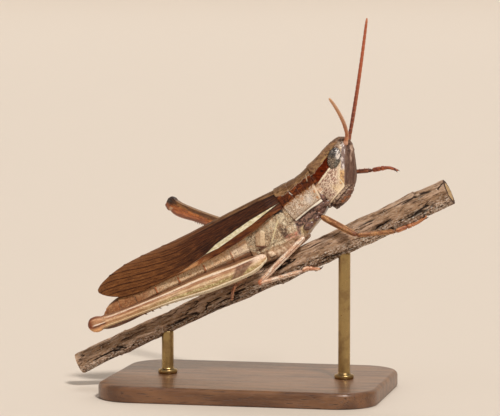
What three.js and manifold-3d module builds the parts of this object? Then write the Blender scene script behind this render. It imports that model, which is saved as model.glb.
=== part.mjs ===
// A slant-faced grasshopper at life size, gripping a short cut length of twig that two rods hold over a flat
// base. Millimetres, +Z up, +X towards the head, +Y to the animal's left. The origin is the middle of the
// base's underside.
import * as THREE from "three";
import { mergeVertices } from "three/addons/utils/BufferGeometryUtils.js";
import Module from "manifold-3d";

const wasm = await Module();
wasm.setup();

// ---------------------------------------------------------------- driving dimensions
const GAP = 0.04; // clearance between neighbouring plates
const SHELL = 0.5; // thickness of a folded wing
const MARGIN = 0.06; // least distance from a wing's inner face to the animal's middle
const TRUNK_PITCH = 25.3; // degrees that the wings and abdomen climb
const NECK_PITCH = 40; // degrees that the pronotum climbs; the slanted face then stands upright
const WAIST = new THREE.Vector3(2.45, 0, 20.35); // top of the pronotum's hind edge
const PRONOTUM_LENGTH = 4.29;
const FRONT_LEAN = 0.23; // how far the pronotum's front edge runs back, per millimetre down
const LEAN_FROM = 1; // where along the pronotum its sections begin to lean
const WING_LENGTH = 20.85;

const TWIG_PITCH = 25.7;
const TWIG_MIDDLE_Z = 10.83; // height of the twig's axis over the origin
const TWIG_FROM = -19.6; // ends of the twig, measured along it
const TWIG_TO = 22.2;

const TWIG_RADII = [
  // place along the twig, radius
  [TWIG_FROM, 1.09],
  [-16, 1.03],
  [-10, 0.98],
  [-3, 1.05],
  [4, 1.2],
  [10, 1.32],
  [16, 1.36],
  [TWIG_TO, 1.34],
];
const FOOT_CLEARANCE = 0.34; // from the bark's mean surface to the middle of a foot

const BASE = { length: 28, width: 20, height: 1.6, corner: 4, bevel: 0.3 };
const ROD_RADIUS = 0.6;
const ROD_X = { rear: -8.5, front: 9.6 };

const radians = THREE.MathUtils.degToRad;

// ---------------------------------------------------------------- shared shape tools

// Values at a place along a part, from a smooth curve through rows of [place, value, value, ...].
function along(rows, place) {
  const last = rows.length - 1;
  const p = Math.min(Math.max(place, rows[0][0]), rows[last][0]);
  let i = 0;
  while (i < last - 1 && p > rows[i + 1][0]) i++;
  const [a, b] = [rows[i], rows[i + 1]];
  const [before, after] = [rows[Math.max(i - 1, 0)], rows[Math.min(i + 2, last)]];
  const span = b[0] - a[0];
  const t = (p - a[0]) / span;
  return a.slice(1).map((value, k) => {
    const next = b[k + 1];
    const slopeA = ((next - before[k + 1]) / (b[0] - before[0])) * span;
    const slopeB = ((after[k + 1] - value) / (after[0] - a[0])) * span;
    const t2 = t * t;
    const t3 = t2 * t;
    return (
      (2 * t3 - 3 * t2 + 1) * value + (t3 - 2 * t2 + t) * slopeA +
      (3 * t2 - 2 * t3) * next + (t3 - t2) * slopeB
    );
  });
}

// Evenly spaced numbers from a to b, both included.
function steps(a, b, count) {
  return Array.from({ length: count }, (_, i) => a + ((b - a) * i) / (count - 1));
}

// Angles once round a section, evenly spaced.
function turns(count) {
  return steps(0, 2 * Math.PI, count + 1).slice(0, count);
}

// Numbers from a to b that crowd towards both ends, for parts with rounded ends.
function roundedSteps(a, b, count) {
  return steps(0, Math.PI, count).map((angle) => a + ((b - a) * (1 - Math.cos(angle))) / 2);
}

// Signed power, for superellipse sections: 2 is an ellipse, more is boxier.
function rounded(value, power) {
  return Math.sign(value) * Math.abs(value) ** (2 / power);
}

// A closed solid through rings of points, each end closed by a fan about the ring's middle.
function loft(rings) {
  const count = rings[0].length;
  const vertices = rings.flat();
  const faces = [];
  for (let r = 0; r < rings.length - 1; r++)
    for (let i = 0; i < count; i++) {
      const [a, b] = [r * count + i, r * count + ((i + 1) % count)];
      faces.push([a, b, b + count], [a, b + count, a + count]);
    }
  for (const [ring, turn] of [[0, true], [rings.length - 1, false]]) {
    const middle = vertices.length;
    const sum = new THREE.Vector3();
    rings[ring].forEach((p) => sum.add(p));
    vertices.push(sum.divideScalar(count));
    for (let i = 0; i < count; i++) {
      const [a, b] = [ring * count + i, ring * count + ((i + 1) % count)];
      faces.push(turn ? [middle, b, a] : [middle, a, b]);
    }
  }
  let volume = 0;
  for (const [a, b, c] of faces)
    volume += vertices[a].dot(new THREE.Vector3().crossVectors(vertices[b], vertices[c]));
  if (volume < 0) faces.forEach((face) => face.reverse());
  return new wasm.Manifold(
    new wasm.Mesh({
      numProp: 3,
      vertProperties: new Float32Array(vertices.flatMap((v) => v.toArray())),
      triVerts: new Uint32Array(faces.flat()),
    }),
  );
}

// A three.js geometry as a manifold solid.
function solidOf(geometry) {
  const bare = new THREE.BufferGeometry();
  const source = geometry.index ? geometry.toNonIndexed() : geometry;
  bare.setAttribute("position", source.getAttribute("position"));
  const merged = mergeVertices(bare, 1e-4);
  return new wasm.Manifold(
    new wasm.Mesh({
      numProp: 3,
      vertProperties: merged.getAttribute("position").array,
      triVerts: new Uint32Array(merged.index.array),
    }),
  );
}

// A manifold solid as a three.js geometry.
function geometryOf(solid) {
  const mesh = solid.getMesh();
  const stride = mesh.numProp;
  const position = new Float32Array(mesh.numVert * 3);
  for (let i = 0; i < mesh.numVert; i++)
    position.set(mesh.vertProperties.subarray(i * stride, i * stride + 3), i * 3);
  const geometry = new THREE.BufferGeometry();
  geometry.setAttribute("position", new THREE.BufferAttribute(position, 3));
  geometry.setIndex(new THREE.BufferAttribute(new Uint32Array(mesh.triVerts), 1));
  geometry.computeVertexNormals();
  return geometry;
}

// The solid with each of the others cut out of it.
function carve(solid, ...others) {
  return others.reduce((left, other) => left.subtract(other), solid);
}

// The solid moved from one group's frame into another's.
function between(solid, from, to) {
  const matrix = new THREE.Matrix4().copy(to.matrixWorld).invert().multiply(from.matrixWorld);
  return solid.transform(matrix.toArray());
}

// A plate of the trunk: sections across X from rows of [x, top, bottom, half width], boxier with power.
// lean slides each section back as it goes down, and grow swells the plate on every side.
function plate(rows, { power = 2.4, sides = 20, rings = 8, lean = () => 0, grow = 0 } = {}) {
  const [from, to] = [rows[0][0], rows[rows.length - 1][0]];
  return loft(
    steps(from, to, rings).map((x) => {
      const [top, bottom, half] = along(rows, x);
      const end = grow * Math.sign(x - (from + to) / 2) * (x === from || x === to ? 1 : 0);
      return turns(sides).map((angle) => {
        const y = (half + grow) * rounded(Math.cos(angle), power);
        const z = (top + bottom) / 2 + ((top - bottom) / 2 + grow) * rounded(Math.sin(angle), power);
        return new THREE.Vector3(x + end + lean(x) * z, y, z);
      });
    }),
  );
}

// An ellipsoid about a middle, with its own axes: half lengths along X, Y and Z, then tilted about Y.
function ellipsoid(middle, half, tilt = 0, { around = 12, down = 8, grow = 0 } = {}) {
  const geometry = new THREE.SphereGeometry(1, around, down);
  geometry.scale(half[0] + grow, half[1] + grow, half[2] + grow);
  geometry.rotateY(radians(tilt));
  geometry.translate(...middle);
  return solidOf(geometry);
}

// A limb along a smooth curve. rows are [share of its length, half height, half thickness], and height is
// measured towards up.
function limb(points, rows, { up = [0, 0, 1], sides = 8, rings = 7, grow = 0, power = 2 } = {}) {
  const curve = new THREE.CatmullRomCurve3(points.map((p) => new THREE.Vector3(...p)), false, "centripetal");
  return loft(
    roundedSteps(0, 1, rings).map((share) => {
      const middle = curve.getPointAt(share);
      const tangent = curve.getTangentAt(share);
      const side = new THREE.Vector3(...up).cross(tangent).normalize();
      const height = new THREE.Vector3().crossVectors(tangent, side);
      const [tall, thick] = along(rows, share);
      return turns(sides).map((angle) =>
        middle.clone()
          .addScaledVector(side, (thick + grow) * rounded(Math.cos(angle), power))
          .addScaledVector(height, (tall + grow) * rounded(Math.sin(angle), power)),
      );
    }),
  );
}

// ---------------------------------------------------------------- finishes
const finish = (color, roughness, metalness = 0) =>
  new THREE.MeshStandardMaterial({ color, roughness, metalness });
const materials = {
  cuticle: finish(0x9c8262, 0.6),
  abdomen: finish(0x9a7b58, 0.6),
  wing: finish(0x573525, 0.65),
  hindwing: finish(0x8a6a4c, 0.6),
  eye: finish(0x4a4a4c, 0.25),
  antenna: finish(0xa8532e, 0.5),
  leg: finish(0xb08a66, 0.55),
  bark: finish(0x5c4c3e, 0.9),
  standWood: finish(0x3f2a1d, 0.5),
  standBrass: finish(0xb08d4a, 0.3, 1),
};

// ---------------------------------------------------------------- frames
const grasshopper = new THREE.Group(); // the trunk's frame: +X along the wings, origin at the waist
grasshopper.position.copy(WAIST);
grasshopper.rotation.y = -radians(TRUNK_PITCH);

const foreBody = new THREE.Group(); // the pronotum's frame: +X along its back
foreBody.rotation.y = -radians(NECK_PITCH - TRUNK_PITCH);
grasshopper.add(foreBody);

const headFrame = new THREE.Group(); // upright, origin at the nape
headFrame.position.set(PRONOTUM_LENGTH, 0, 0.02);
headFrame.rotation.y = radians(NECK_PITCH);
foreBody.add(headFrame);

const stand = new THREE.Group();

const twigFrame = new THREE.Group(); // +X along the twig
twigFrame.position.set(0, 0, TWIG_MIDDLE_Z);
twigFrame.rotation.y = -radians(TWIG_PITCH);

const model = new THREE.Group();
model.add(grasshopper, twigFrame, stand);
model.updateMatrixWorld(true);

function addPart(group, name, solid, material) {
  const mesh = new THREE.Mesh(geometryOf(solid), material);
  mesh.name = name;
  group.add(mesh);
}

// Right is -Y and left is +Y.
const SIDES = [["right", -1], ["left", 1]];

// ---------------------------------------------------------------- fore body: pronotum and prosternum
const PRONOTUM_ROWS = [
  // x, top, bottom, half width
  [0, 0.04, -4.1, 1.72],
  [0.8, -0.08, -4.13, 1.67],
  [1.5, -0.24, -4.15, 1.62],
  [2.4, -0.42, -4.14, 1.56],
  [3.3, -0.45, -4.12, 1.5],
  [PRONOTUM_LENGTH, -0.38, -4.1, 1.46],
];
const pronotumLean = (x) => FRONT_LEAN * THREE.MathUtils.smoothstep(x, LEAN_FROM, PRONOTUM_LENGTH);
const pronotum = (grow) =>
  plate(PRONOTUM_ROWS, { power: 3.2, sides: 22, rings: 7, lean: pronotumLean, grow });

const PROSTERNUM_ROWS = [
  [GAP, -4.14, -5.6, 1.2],
  [1.2, -4.14, -5.35, 1.15],
  [2.4, -4.14, -5.1, 1.05],
  [3.1, -4.14, -4.85, 0.9],
  [3.5, -4.14, -4.55, 0.7],
];
const prosternum = (grow) => plate(PROSTERNUM_ROWS, { power: 2.8, sides: 14, rings: 5, grow });

addPart(foreBody, "pronotum", pronotum(0), materials.cuticle);
addPart(foreBody, "prosternum", prosternum(0), materials.cuticle);

// ---------------------------------------------------------------- head
// Level sections from the mouth up to the tip between the feelers.
const HEAD_ROWS = [
  // height, back, front, half width
  [-4.42, 2.9, 3.3, 0.3],
  [-4.2, 2.6, 3.65, 0.62],
  [-3.8, 2.3, 4.1, 0.98],
  [-3.2, 1.8, 4.56, 1.26],
  [-2.2, 1.0, 4.93, 1.42],
  [-1.1, 0.25, 5.05, 1.42],
  [-0.4, 0.05, 5.03, 1.36],
  [0.4, 0.84, 4.95, 1.22],
  [1.0, 1.44, 4.86, 1.08],
  [1.7, 2.07, 4.7, 0.84],
  [2.26, 2.7, 4.48, 0.56],
  [2.64, 3.22, 4.2, 0.28],
];
const FACE_POWER = 1.75; // the face is a blunt wedge
const NAPE_POWER = 2.9; // the cheeks are boxier
const FACE_SHARE = 0.45; // where a section is widest, from its back to its front
const HEAD_SIDES = 20;

function headShape(grow, heights) {
  return loft(
    heights.map((z) => {
      const [back, front, half] = along(HEAD_ROWS, z);
      const middle = back + (front - back) * FACE_SHARE;
      return turns(HEAD_SIDES).map((angle) => {
        const forward = Math.cos(angle) > 0;
        const power = forward ? FACE_POWER : NAPE_POWER;
        const reach = (forward ? front - middle : middle - back) + grow;
        return new THREE.Vector3(
          middle + reach * rounded(Math.cos(angle), power),
          (half + grow) * rounded(Math.sin(angle), power),
          z,
        );
      });
    }),
  );
}

const EYE = { middle: [2.96, 0.93, 0.5], half: [0.69, 0.5, 1.14], tilt: 13 };
function eye(side, grow) {
  const [x, y, z] = EYE.middle;
  return ellipsoid([x, side * y, z], EYE.half, EYE.tilt, { around: 12, down: 8, grow });
}

const FEELER_SECTION = [
  // share of length, half height, half thickness
  [0, 0.3, 0.3],
  [0.06, 0.26, 0.26],
  [0.2, 0.3, 0.27],
  [0.5, 0.28, 0.26],
  [0.96, 0.25, 0.25],
  [1, 0.12, 0.12],
];
const FEELER_PATHS = {
  right: [[3.96, -0.36, 1.8], [4.21, -0.7, 2.78], [4.22, -1.6, 3.59], [4.29, -4.2, 4.72], [4.29, -8, 6.1],
    [4.24, -10.6, 6.93]],
  left: [[4.05, 0.36, 1.8], [4.28, 0.45, 2.75], [4.72, 1.2, 6.03], [5.15, 2, 9.9], [5.55, 3, 14.33]],
};
const feeler = (name) => limb(FEELER_PATHS[name], FEELER_SECTION, { up: [1, 0, 0], sides: 6, rings: 15 });

const PALP_SECTION = [[0, 0.26, 0.26], [0.5, 0.25, 0.25], [0.9, 0.27, 0.27], [1, 0.16, 0.16]];
const palpPath = (side) => [[2.6, side * 0.55, -3.9], [2.6, side * 0.75, -4.5], [2.95, side * 0.75, -4.85]];

const headHeights = roundedSteps(-4.42, 2.64, 14);
const headCutters = SIDES.map(([, side]) => eye(side, GAP));
headCutters.push(between(pronotum(GAP), foreBody, headFrame));
const head = carve(headShape(0, headHeights), ...headCutters);
const headGrown = headShape(GAP, headHeights);
addPart(headFrame, "head", head, materials.cuticle);
for (const [name, side] of SIDES) {
  addPart(headFrame, `eye_${name}`, eye(side, 0), materials.eye);
  addPart(headFrame, `antenna_${name}`, carve(feeler(name), headGrown), materials.antenna);
  const palp = limb(palpPath(side), PALP_SECTION, { up: [1, 0, 0], sides: 6, rings: 5 });
  addPart(headFrame, `palp_${name}`, carve(palp, headGrown), materials.leg);
}

// ---------------------------------------------------------------- wings
const WING_ROWS = [
  // x, top, lower edge, half width at the lower edge
  [-WING_LENGTH, -1.6, -2.0, 0.55],
  [-20.4, -1.28, -2.45, 0.66],
  [-19.6, -0.98, -2.95, 0.8],
  [-18.5, -0.68, -3.4, 1.0],
  [-17, -0.45, -3.68, 1.3],
  [-14.5, -0.38, -3.68, 1.66],
  [-11, -0.36, -3.7, 2.05],
  [-8, -0.26, -3.58, 2.25],
  [-5, -0.12, -3.25, 2.32],
  [-2.8, -0.05, -2.85, 2.3],
  [-1, 0, -2.3, 2.15],
  [0.9, 0, -1.93, 1.95],
];
const WING_POWER = 2.7;
const WING_RINGS = 15;
const WING_SIDES = 7; // points across one face of a wing

// One folded wing: a curved shell from the middle of the back down the flank.
function wing(side, { rows, power, thickness, grow = 0, rings, lower = 1 }) {
  const [from, to] = [rows[0][0], rows[rows.length - 1][0]];
  return loft(
    steps(from, to, rings).map((x) => {
      const [top, edge, half] = along(rows, x);
      const face = (inset) =>
        steps(0, (Math.PI / 2) * lower, WING_SIDES).map((angle) => {
          const y = GAP / 2 - grow + (half - inset - GAP / 2 + grow) * rounded(Math.sin(angle), power);
          const z = edge + (top - edge - inset) * rounded(Math.cos(angle), power);
          return new THREE.Vector3(x, side * y, z);
        });
      const outer = face(-grow);
      const inner = face(Math.min(thickness + grow, half - MARGIN)).reverse();
      outer[outer.length - 1].z -= grow;
      inner[0].z -= grow;
      return [...outer, ...inner];
    }),
  );
}
const foreWing = (side, grow) =>
  wing(side, { rows: WING_ROWS, power: WING_POWER, thickness: SHELL, grow, rings: WING_RINGS });

// The space in front of the pronotum's hind edge, which the wings and thorax keep out of.
const AHEAD = 20; // side of a cube that holds all that is in front of the waist
const aheadBox = new THREE.BoxGeometry(AHEAD, AHEAD, AHEAD).translate(AHEAD / 2 - GAP, 0, 0);
const aheadOfWaist = between(solidOf(aheadBox), foreBody, grasshopper);

const foreWings = SIDES.map(([, side]) => foreWing(side, GAP));
for (const [name, side] of SIDES)
  addPart(grasshopper, `forewing_${name}`, carve(foreWing(side, 0), aheadOfWaist), materials.wing);

// ---------------------------------------------------------------- thorax and abdomen
const THORAX_ROWS = [
  // x, top, bottom, half width
  [-4.35, -0.95, -6.04, 1.78],
  [-3, -0.8, -6.1, 1.86],
  [-1.2, -0.7, -6.06, 1.88],
  [0.3, -0.65, -5.82, 1.82],
  [1.8, -0.6, -5.2, 1.66],
  [3.2, -0.6, -4.5, 1.5],
];
const thorax = (grow) => plate(THORAX_ROWS, { power: 2.6, sides: 18, rings: 7, grow });
const thoraxGrown = thorax(GAP);
addPart(grasshopper, "thorax", carve(thorax(0), aheadOfWaist, ...foreWings), materials.cuticle);

const ABDOMEN_ROWS = [
  [-21, -3.85, -4.78, 0.32],
  [-20.3, -3.5, -5.02, 0.55],
  [-19.2, -3.22, -5.25, 0.82],
  [-17, -2.65, -5.5, 1.15],
  [-14, -1.8, -5.75, 1.42],
  [-10, -1.3, -5.95, 1.62],
  [-7, -1.1, -6.02, 1.72],
  [-4.35 - GAP, -1.0, -6.05, 1.74],
];
const ABDOMEN_POWER = 2.2;
const ABDOMEN_SIDES = 12;
const ABDOMEN_JOINTS = [-4.35 - GAP, -6.4, -9.55, -12.5, -15.1, -17.4, -19.3, -21]; // from front to back
const RING_FLARE = 0.07; // how far each ring stands over the one behind it
const RING_STEP = 0.05; // length of the step down to the next ring

// The abdomen is a row of rings, each widening to its hind edge.
function abdomen(grow) {
  const stations = [];
  for (let i = 0; i < ABDOMEN_JOINTS.length - 1; i++)
    stations.push([ABDOMEN_JOINTS[i], 0], [ABDOMEN_JOINTS[i + 1] + RING_STEP, RING_FLARE]);
  stations.push([ABDOMEN_JOINTS[ABDOMEN_JOINTS.length - 1], 0]);
  return loft(
    stations.map(([x, flare]) => {
      const [top, bottom, half] = along(ABDOMEN_ROWS, x);
      return turns(ABDOMEN_SIDES).map((angle) => {
        const y = (half + flare + grow) * rounded(Math.cos(angle), ABDOMEN_POWER);
        const tall = (top - bottom) / 2 + flare + grow;
        return new THREE.Vector3(x, y, (top + bottom) / 2 + tall * rounded(Math.sin(angle), ABDOMEN_POWER));
      });
    }),
  );
}
addPart(grasshopper, "abdomen", carve(abdomen(0), ...foreWings), materials.abdomen);

// The hind plate and the two short feelers at the abdomen's end, in one piece.
const tailPlate = ellipsoid([-21.12, 0, -4.32], [0.38, 0.36, 0.42], 20, { around: 10, down: 6 });
addPart(grasshopper, "abdomen_tip", carve(tailPlate, abdomen(GAP)), materials.abdomen);

// Hind wings, folded like a fan between the forewings and the abdomen.
const HINDWING_ROWS = [
  [-19, -1.1 - SHELL, -2.95, 0.36],
  [-17, -0.6 - SHELL, -2.75, 0.7],
  [-14, -0.5 - SHELL, -2.6, 1.05],
  [-10, -0.44 - SHELL, -2.5, 1.45],
  [-4.6, -0.2 - SHELL, -2.4, 1.7],
];
const HINDWING_FOLD = 1.4; // thickness of the folded fan, before the abdomen is cut out of it
const hindWing = (side) =>
  wing(side, { rows: HINDWING_ROWS, power: 2.5, thickness: HINDWING_FOLD, rings: 6 });
for (const [name, side] of SIDES) {
  const folded = carve(hindWing(side), abdomen(GAP), thoraxGrown, ...foreWings);
  const whole = folded.decompose().sort((a, b) => b.volume() - a.volume())[0];
  addPart(grasshopper, `hindwing_${name}`, whole, materials.hindwing);
}

// ---------------------------------------------------------------- legs
// Joints in the trunk's frame: hip, knee and ankle. A foot lies on the bark at places along the twig, each
// with an angle round it: 0 is on top and positive is the animal's left. hang is the way that a folded
// shin lies from its femur.
const LEGS = {
  foreleg_right: {
    coxa: [[3.5, -0.75, -3.9], [4.0, -0.95, -4.35]],
    hip: [4.05, -1.05, -4.45],
    knee: [6.17, -2.3, -7.5],
    ankle: [9.75, -1.5, -8.75],
    bark: [[17.0, -143], [18.2, -148], [19.2, -140]],
  },
  foreleg_left: {
    coxa: [[3.5, 0.75, -3.9], [4.0, 1.0, -4.35]],
    hip: [4.05, 1.2, -4.35],
    knee: [5.6, 2.95, -1.0],
    ankle: [9.45, 2.2, -2.3],
    foot: [[10.5, 2.05, -2.55], [11.2, 1.9, -2.8], [11.75, 1.8, -3.25]],
  },
  midleg_right: {
    coxa: [[0.55, -1.2, -4.9], [1.05, -1.45, -5.45]],
    hip: [1.15, -1.6, -5.5],
    knee: [-4.93, -2.35, -7.83],
    ankle: [-0.5, -1.45, -8.5],
    bark: [[6.2, -126], [6.9, -146], [7.3, -166]],
  },
  midleg_left: {
    coxa: [[0.55, 1.2, -4.9], [1.05, 1.45, -5.45]],
    hip: [1.15, 1.6, -5.5],
    knee: [-5.2, 2.5, -7.15],
    ankle: [-1.0, 1.5, -8.4],
    bark: [[5.7, 126], [6.4, 146], [6.8, 166]],
  },
  hindleg_right: {
    coxa: [[-2.5, -1.3, -5.5], [-2.8, -1.65, -6.0]],
    hip: [-3.0, -2.42, -5.7],
    knee: [-22.6, -2.95, -4.65],
    ankle: [-5.85, -2.2, -6.78],
    hang: [0, 0, -1],
    bark: [[-0.9, -64], [-1.6, -88], [-2.0, -113]],
  },
  hindleg_left: {
    coxa: [[-2.5, 1.3, -5.5], [-2.8, 1.65, -6.0]],
    hip: [-3.0, 2.5, -4.85],
    knee: [-14.5, 15.9, 3.85],
    ankle: [-5.2, 3.4, -5.4],
    hang: [-0.7, -0.15, -0.7],
    bark: [[0.9, 50], [0.5, 72], [0.4, 95]],
  },
};

const SMALL_FEMUR = [
  // share of length, half height, half thickness
  [0, 0.24, 0.24],
  [0.06, 0.34, 0.3],
  [0.45, 0.39, 0.32],
  [0.9, 0.31, 0.28],
  [1, 0.2, 0.2],
];
const SMALL_TIBIA = [[0, 0.22, 0.22], [0.08, 0.27, 0.27], [0.9, 0.26, 0.26], [1, 0.2, 0.2]];
const FOOT = [[0, 0.2, 0.2], [0.08, 0.25, 0.26], [0.85, 0.24, 0.25], [1, 0.18, 0.18]];
const COXA = [[0, 0.5, 0.5], [0.6, 0.5, 0.48], [1, 0.3, 0.3]];
const JUMPING_FEMUR = [
  // share of length, half height, half thickness
  [0, 0.36, 0.3],
  [0.02, 0.5, 0.42],
  [0.05, 0.68, 0.52],
  [0.1, 0.83, 0.58],
  [0.18, 0.89, 0.62],
  [0.26, 0.94, 0.62],
  [0.33, 0.95, 0.6],
  [0.42, 0.83, 0.55],
  [0.51, 0.69, 0.5],
  [0.6, 0.6, 0.46],
  [0.7, 0.56, 0.42],
  [0.79, 0.56, 0.39],
  [0.88, 0.56, 0.38],
  [0.93, 0.66, 0.4],
  [0.965, 0.75, 0.42],
  [0.99, 0.62, 0.38],
  [1, 0.42, 0.3],
];
const JUMPING_TIBIA = [
  [0, 0.26, 0.24],
  [0.06, 0.27, 0.26],
  [0.5, 0.26, 0.26],
  [0.95, 0.29, 0.28],
  [1, 0.22, 0.22],
];

const vector = (p) => new THREE.Vector3(...p);

// The point a share of the way from a to b.
const partway = (a, b, share) => vector(a).lerp(vector(b), share).toArray();

// The jumping leg's femur and shin. The femur sags a little, and the shin folds up against its lower and
// inner edge.
const FEMUR_SAG = [
  // share of the straight line from hip to knee, how far the femur's middle lies below it
  [0, 0],
  [0.1, 0.27],
  [0.25, 0.31],
  [0.42, 0.24],
  [0.6, 0.2],
  [0.85, 0.18],
  [0.96, 0.06],
  [1, 0.02],
];
const SHIN_DROP = [
  // share of that line, how far the shin's middle lies below it
  [0.5, 0.62],
  [0.6, 0.6],
  [0.7, 0.66],
  [0.8, 0.8],
  [0.87, 0.8],
  [0.92, 0.64],
  [0.96, 0.46],
  [0.99, 0.32],
];
const SHIN_INSET = 0.2;

function jumpingLeg(leg) {
  const forward = vector(leg.hip).sub(vector(leg.knee)).normalize();
  const hang = vector(leg.hang);
  const down = hang.addScaledVector(forward, -hang.dot(forward)).normalize();
  const inward = new THREE.Vector3().crossVectors(down, forward).multiplyScalar(Math.sign(leg.hip[1]));
  const place = (share, drop, inset) =>
    vector(partway(leg.hip, leg.knee, share))
      .addScaledVector(down, drop)
      .addScaledVector(inward, inset)
      .toArray();
  const femurLine = FEMUR_SAG.map(([share, drop]) => place(share, drop, 0));
  const shin = SHIN_DROP.map(([share, drop]) => place(share, drop, SHIN_INSET)).reverse();
  const rest = partway(shin[shin.length - 1], leg.ankle, 0.5);
  return { femurLine, shinLine: [...shin, rest, leg.ankle], up: down.negate().toArray() };
}

// A point of a foot that lies on the bark, in the trunk's frame.
function onBark([place, angle]) {
  const [radius] = along(TWIG_RADII, place);
  const reach = radius + FOOT_CLEARANCE;
  const point = new THREE.Vector3(place, reach * Math.sin(radians(angle)), reach * Math.cos(radians(angle)));
  return grasshopper.worldToLocal(twigFrame.localToWorld(point)).toArray();
}

for (const [name, leg] of Object.entries(LEGS)) {
  const jumping = name.startsWith("hind");
  const sideways = [0, name.endsWith("left") ? 1 : -1, 0.3];
  const body = name.startsWith("fore")
    ? [between(prosternum(GAP), foreBody, grasshopper), between(pronotum(GAP), foreBody, grasshopper)]
    : [thoraxGrown, between(prosternum(GAP), foreBody, grasshopper)];
  if (jumping) body.push(abdomen(GAP));

  let femurLine = [leg.hip, partway(leg.hip, leg.knee, 0.5), leg.knee];
  let shinLine = [leg.knee, partway(leg.knee, leg.ankle, 0.5), leg.ankle];
  let up = sideways;
  if (jumping) ({ femurLine, shinLine, up } = jumpingLeg(leg));
  const femurShape = (grow) =>
    jumping
      ? limb(femurLine, JUMPING_FEMUR, { up, sides: 10, rings: 14, grow, power: 2.3 })
      : limb(femurLine, SMALL_FEMUR, { up, sides: 8, rings: 7, grow });
  const shinShape = (grow) =>
    jumping
      ? limb(shinLine, JUMPING_TIBIA, { up, sides: 7, rings: 12, grow })
      : limb(shinLine, SMALL_TIBIA, { up, sides: 7, rings: 5, grow });

  const femur = jumping ? carve(femurShape(0), shinShape(GAP), ...body) : carve(femurShape(0), ...body);
  const shin = jumping ? shinShape(0) : carve(shinShape(0), femurShape(GAP));
  const toes = leg.foot ?? leg.bark.map(onBark);
  const foot = carve(
    limb([leg.ankle, ...toes], FOOT, { up: sideways, sides: 7, rings: 7 }),
    shinShape(GAP),
  );
  const coxaLine = [leg.coxa[0], partway(...leg.coxa, 0.5), leg.coxa[1]];
  const coxa = carve(limb(coxaLine, COXA, { up: [1, 0, 0], sides: 8, rings: 4 }), ...body, femurShape(GAP));
  addPart(grasshopper, `${name}_coxa`, coxa, materials.cuticle);
  addPart(grasshopper, `${name}_femur`, femur, materials.leg);
  addPart(grasshopper, `${name}_tibia`, shin, materials.leg);
  addPart(grasshopper, `${name}_foot`, foot, materials.leg);
}

// ---------------------------------------------------------------- perch and stand
const TWIG_KNOTS = [-14.5, 3.8, 18.2]; // swollen leaf scars
const KNOT_SWELL = 0.12;
const KNOT_SPREAD = 0.8; // square of a knot's length along the twig
const BARK_RIDGES = 4;
const RIDGE_HEIGHT = 0.035;
const RIDGE_TWIST = 0.16; // radians per millimetre along the twig
const TWIG_SIDES = 12;
const TWIG_RINGS = 19;
const ROD_SEAT = 0.02; // clearance between a rod's top and the bark

function twig(grow) {
  return loft(
    steps(TWIG_FROM, TWIG_TO, TWIG_RINGS).map((x) => {
      const [radius] = along(TWIG_RADII, x);
      const knots = TWIG_KNOTS.map((knot) => Math.exp(-((x - knot) ** 2) / KNOT_SPREAD));
      const swell = KNOT_SWELL * knots.reduce((sum, value) => sum + value, 0);
      return turns(TWIG_SIDES).map((angle) => {
        const ridge = RIDGE_HEIGHT * Math.cos(BARK_RIDGES * angle + RIDGE_TWIST * x);
        const r = radius + swell * (0.5 + 0.5 * Math.sin(angle + x)) + ridge + grow;
        return new THREE.Vector3(x, r * Math.cos(angle), r * Math.sin(angle));
      });
    }),
  );
}
addPart(twigFrame, "perch_twig", twig(0), materials.bark);

function roundedBase() {
  const { length, width, height, corner, bevel } = BASE;
  const [x, y] = [length / 2 - bevel, width / 2 - bevel];
  const outline = new THREE.Shape();
  outline.absarc(x - corner, y - corner, corner, 0, Math.PI / 2);
  outline.absarc(-x + corner, y - corner, corner, Math.PI / 2, Math.PI);
  outline.absarc(-x + corner, -y + corner, corner, Math.PI, 1.5 * Math.PI);
  outline.absarc(x - corner, -y + corner, corner, 1.5 * Math.PI, 2 * Math.PI);
  const depth = height - 2 * bevel;
  const options = { depth, bevelThickness: bevel, bevelSize: bevel, bevelSegments: 1, curveSegments: 4 };
  return new THREE.ExtrudeGeometry(outline, options).translate(0, 0, bevel);
}
addPart(stand, "stand_base", solidOf(roundedBase()), materials.standWood);

for (const [name, x] of Object.entries(ROD_X)) {
  const top = TWIG_MIDDLE_Z + x * Math.tan(radians(TWIG_PITCH));
  const rod = new THREE.CylinderGeometry(ROD_RADIUS, ROD_RADIUS, top - BASE.height, 12);
  rod.rotateX(Math.PI / 2);
  rod.translate(x, 0, (top + BASE.height) / 2);
  const seated = carve(solidOf(rod), between(twig(ROD_SEAT), twigFrame, stand));
  addPart(stand, `stand_rod_${name}`, seated, materials.standBrass);
}

export default model;
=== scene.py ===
"""A slant-faced grasshopper at life size on a cut length of twig, held over a small stand by two rods.

Shapes are in millimetres in the part's own frames, mostly from the rows and curves of the solids, and become
metres when a piece is made. Local frames: trunk (+X along the wings), fore (the pronotum), skull (upright,
at the nape) and bough (along the twig).
"""
import math

import bpy
import numpy as np
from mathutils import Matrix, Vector, noise


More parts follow.
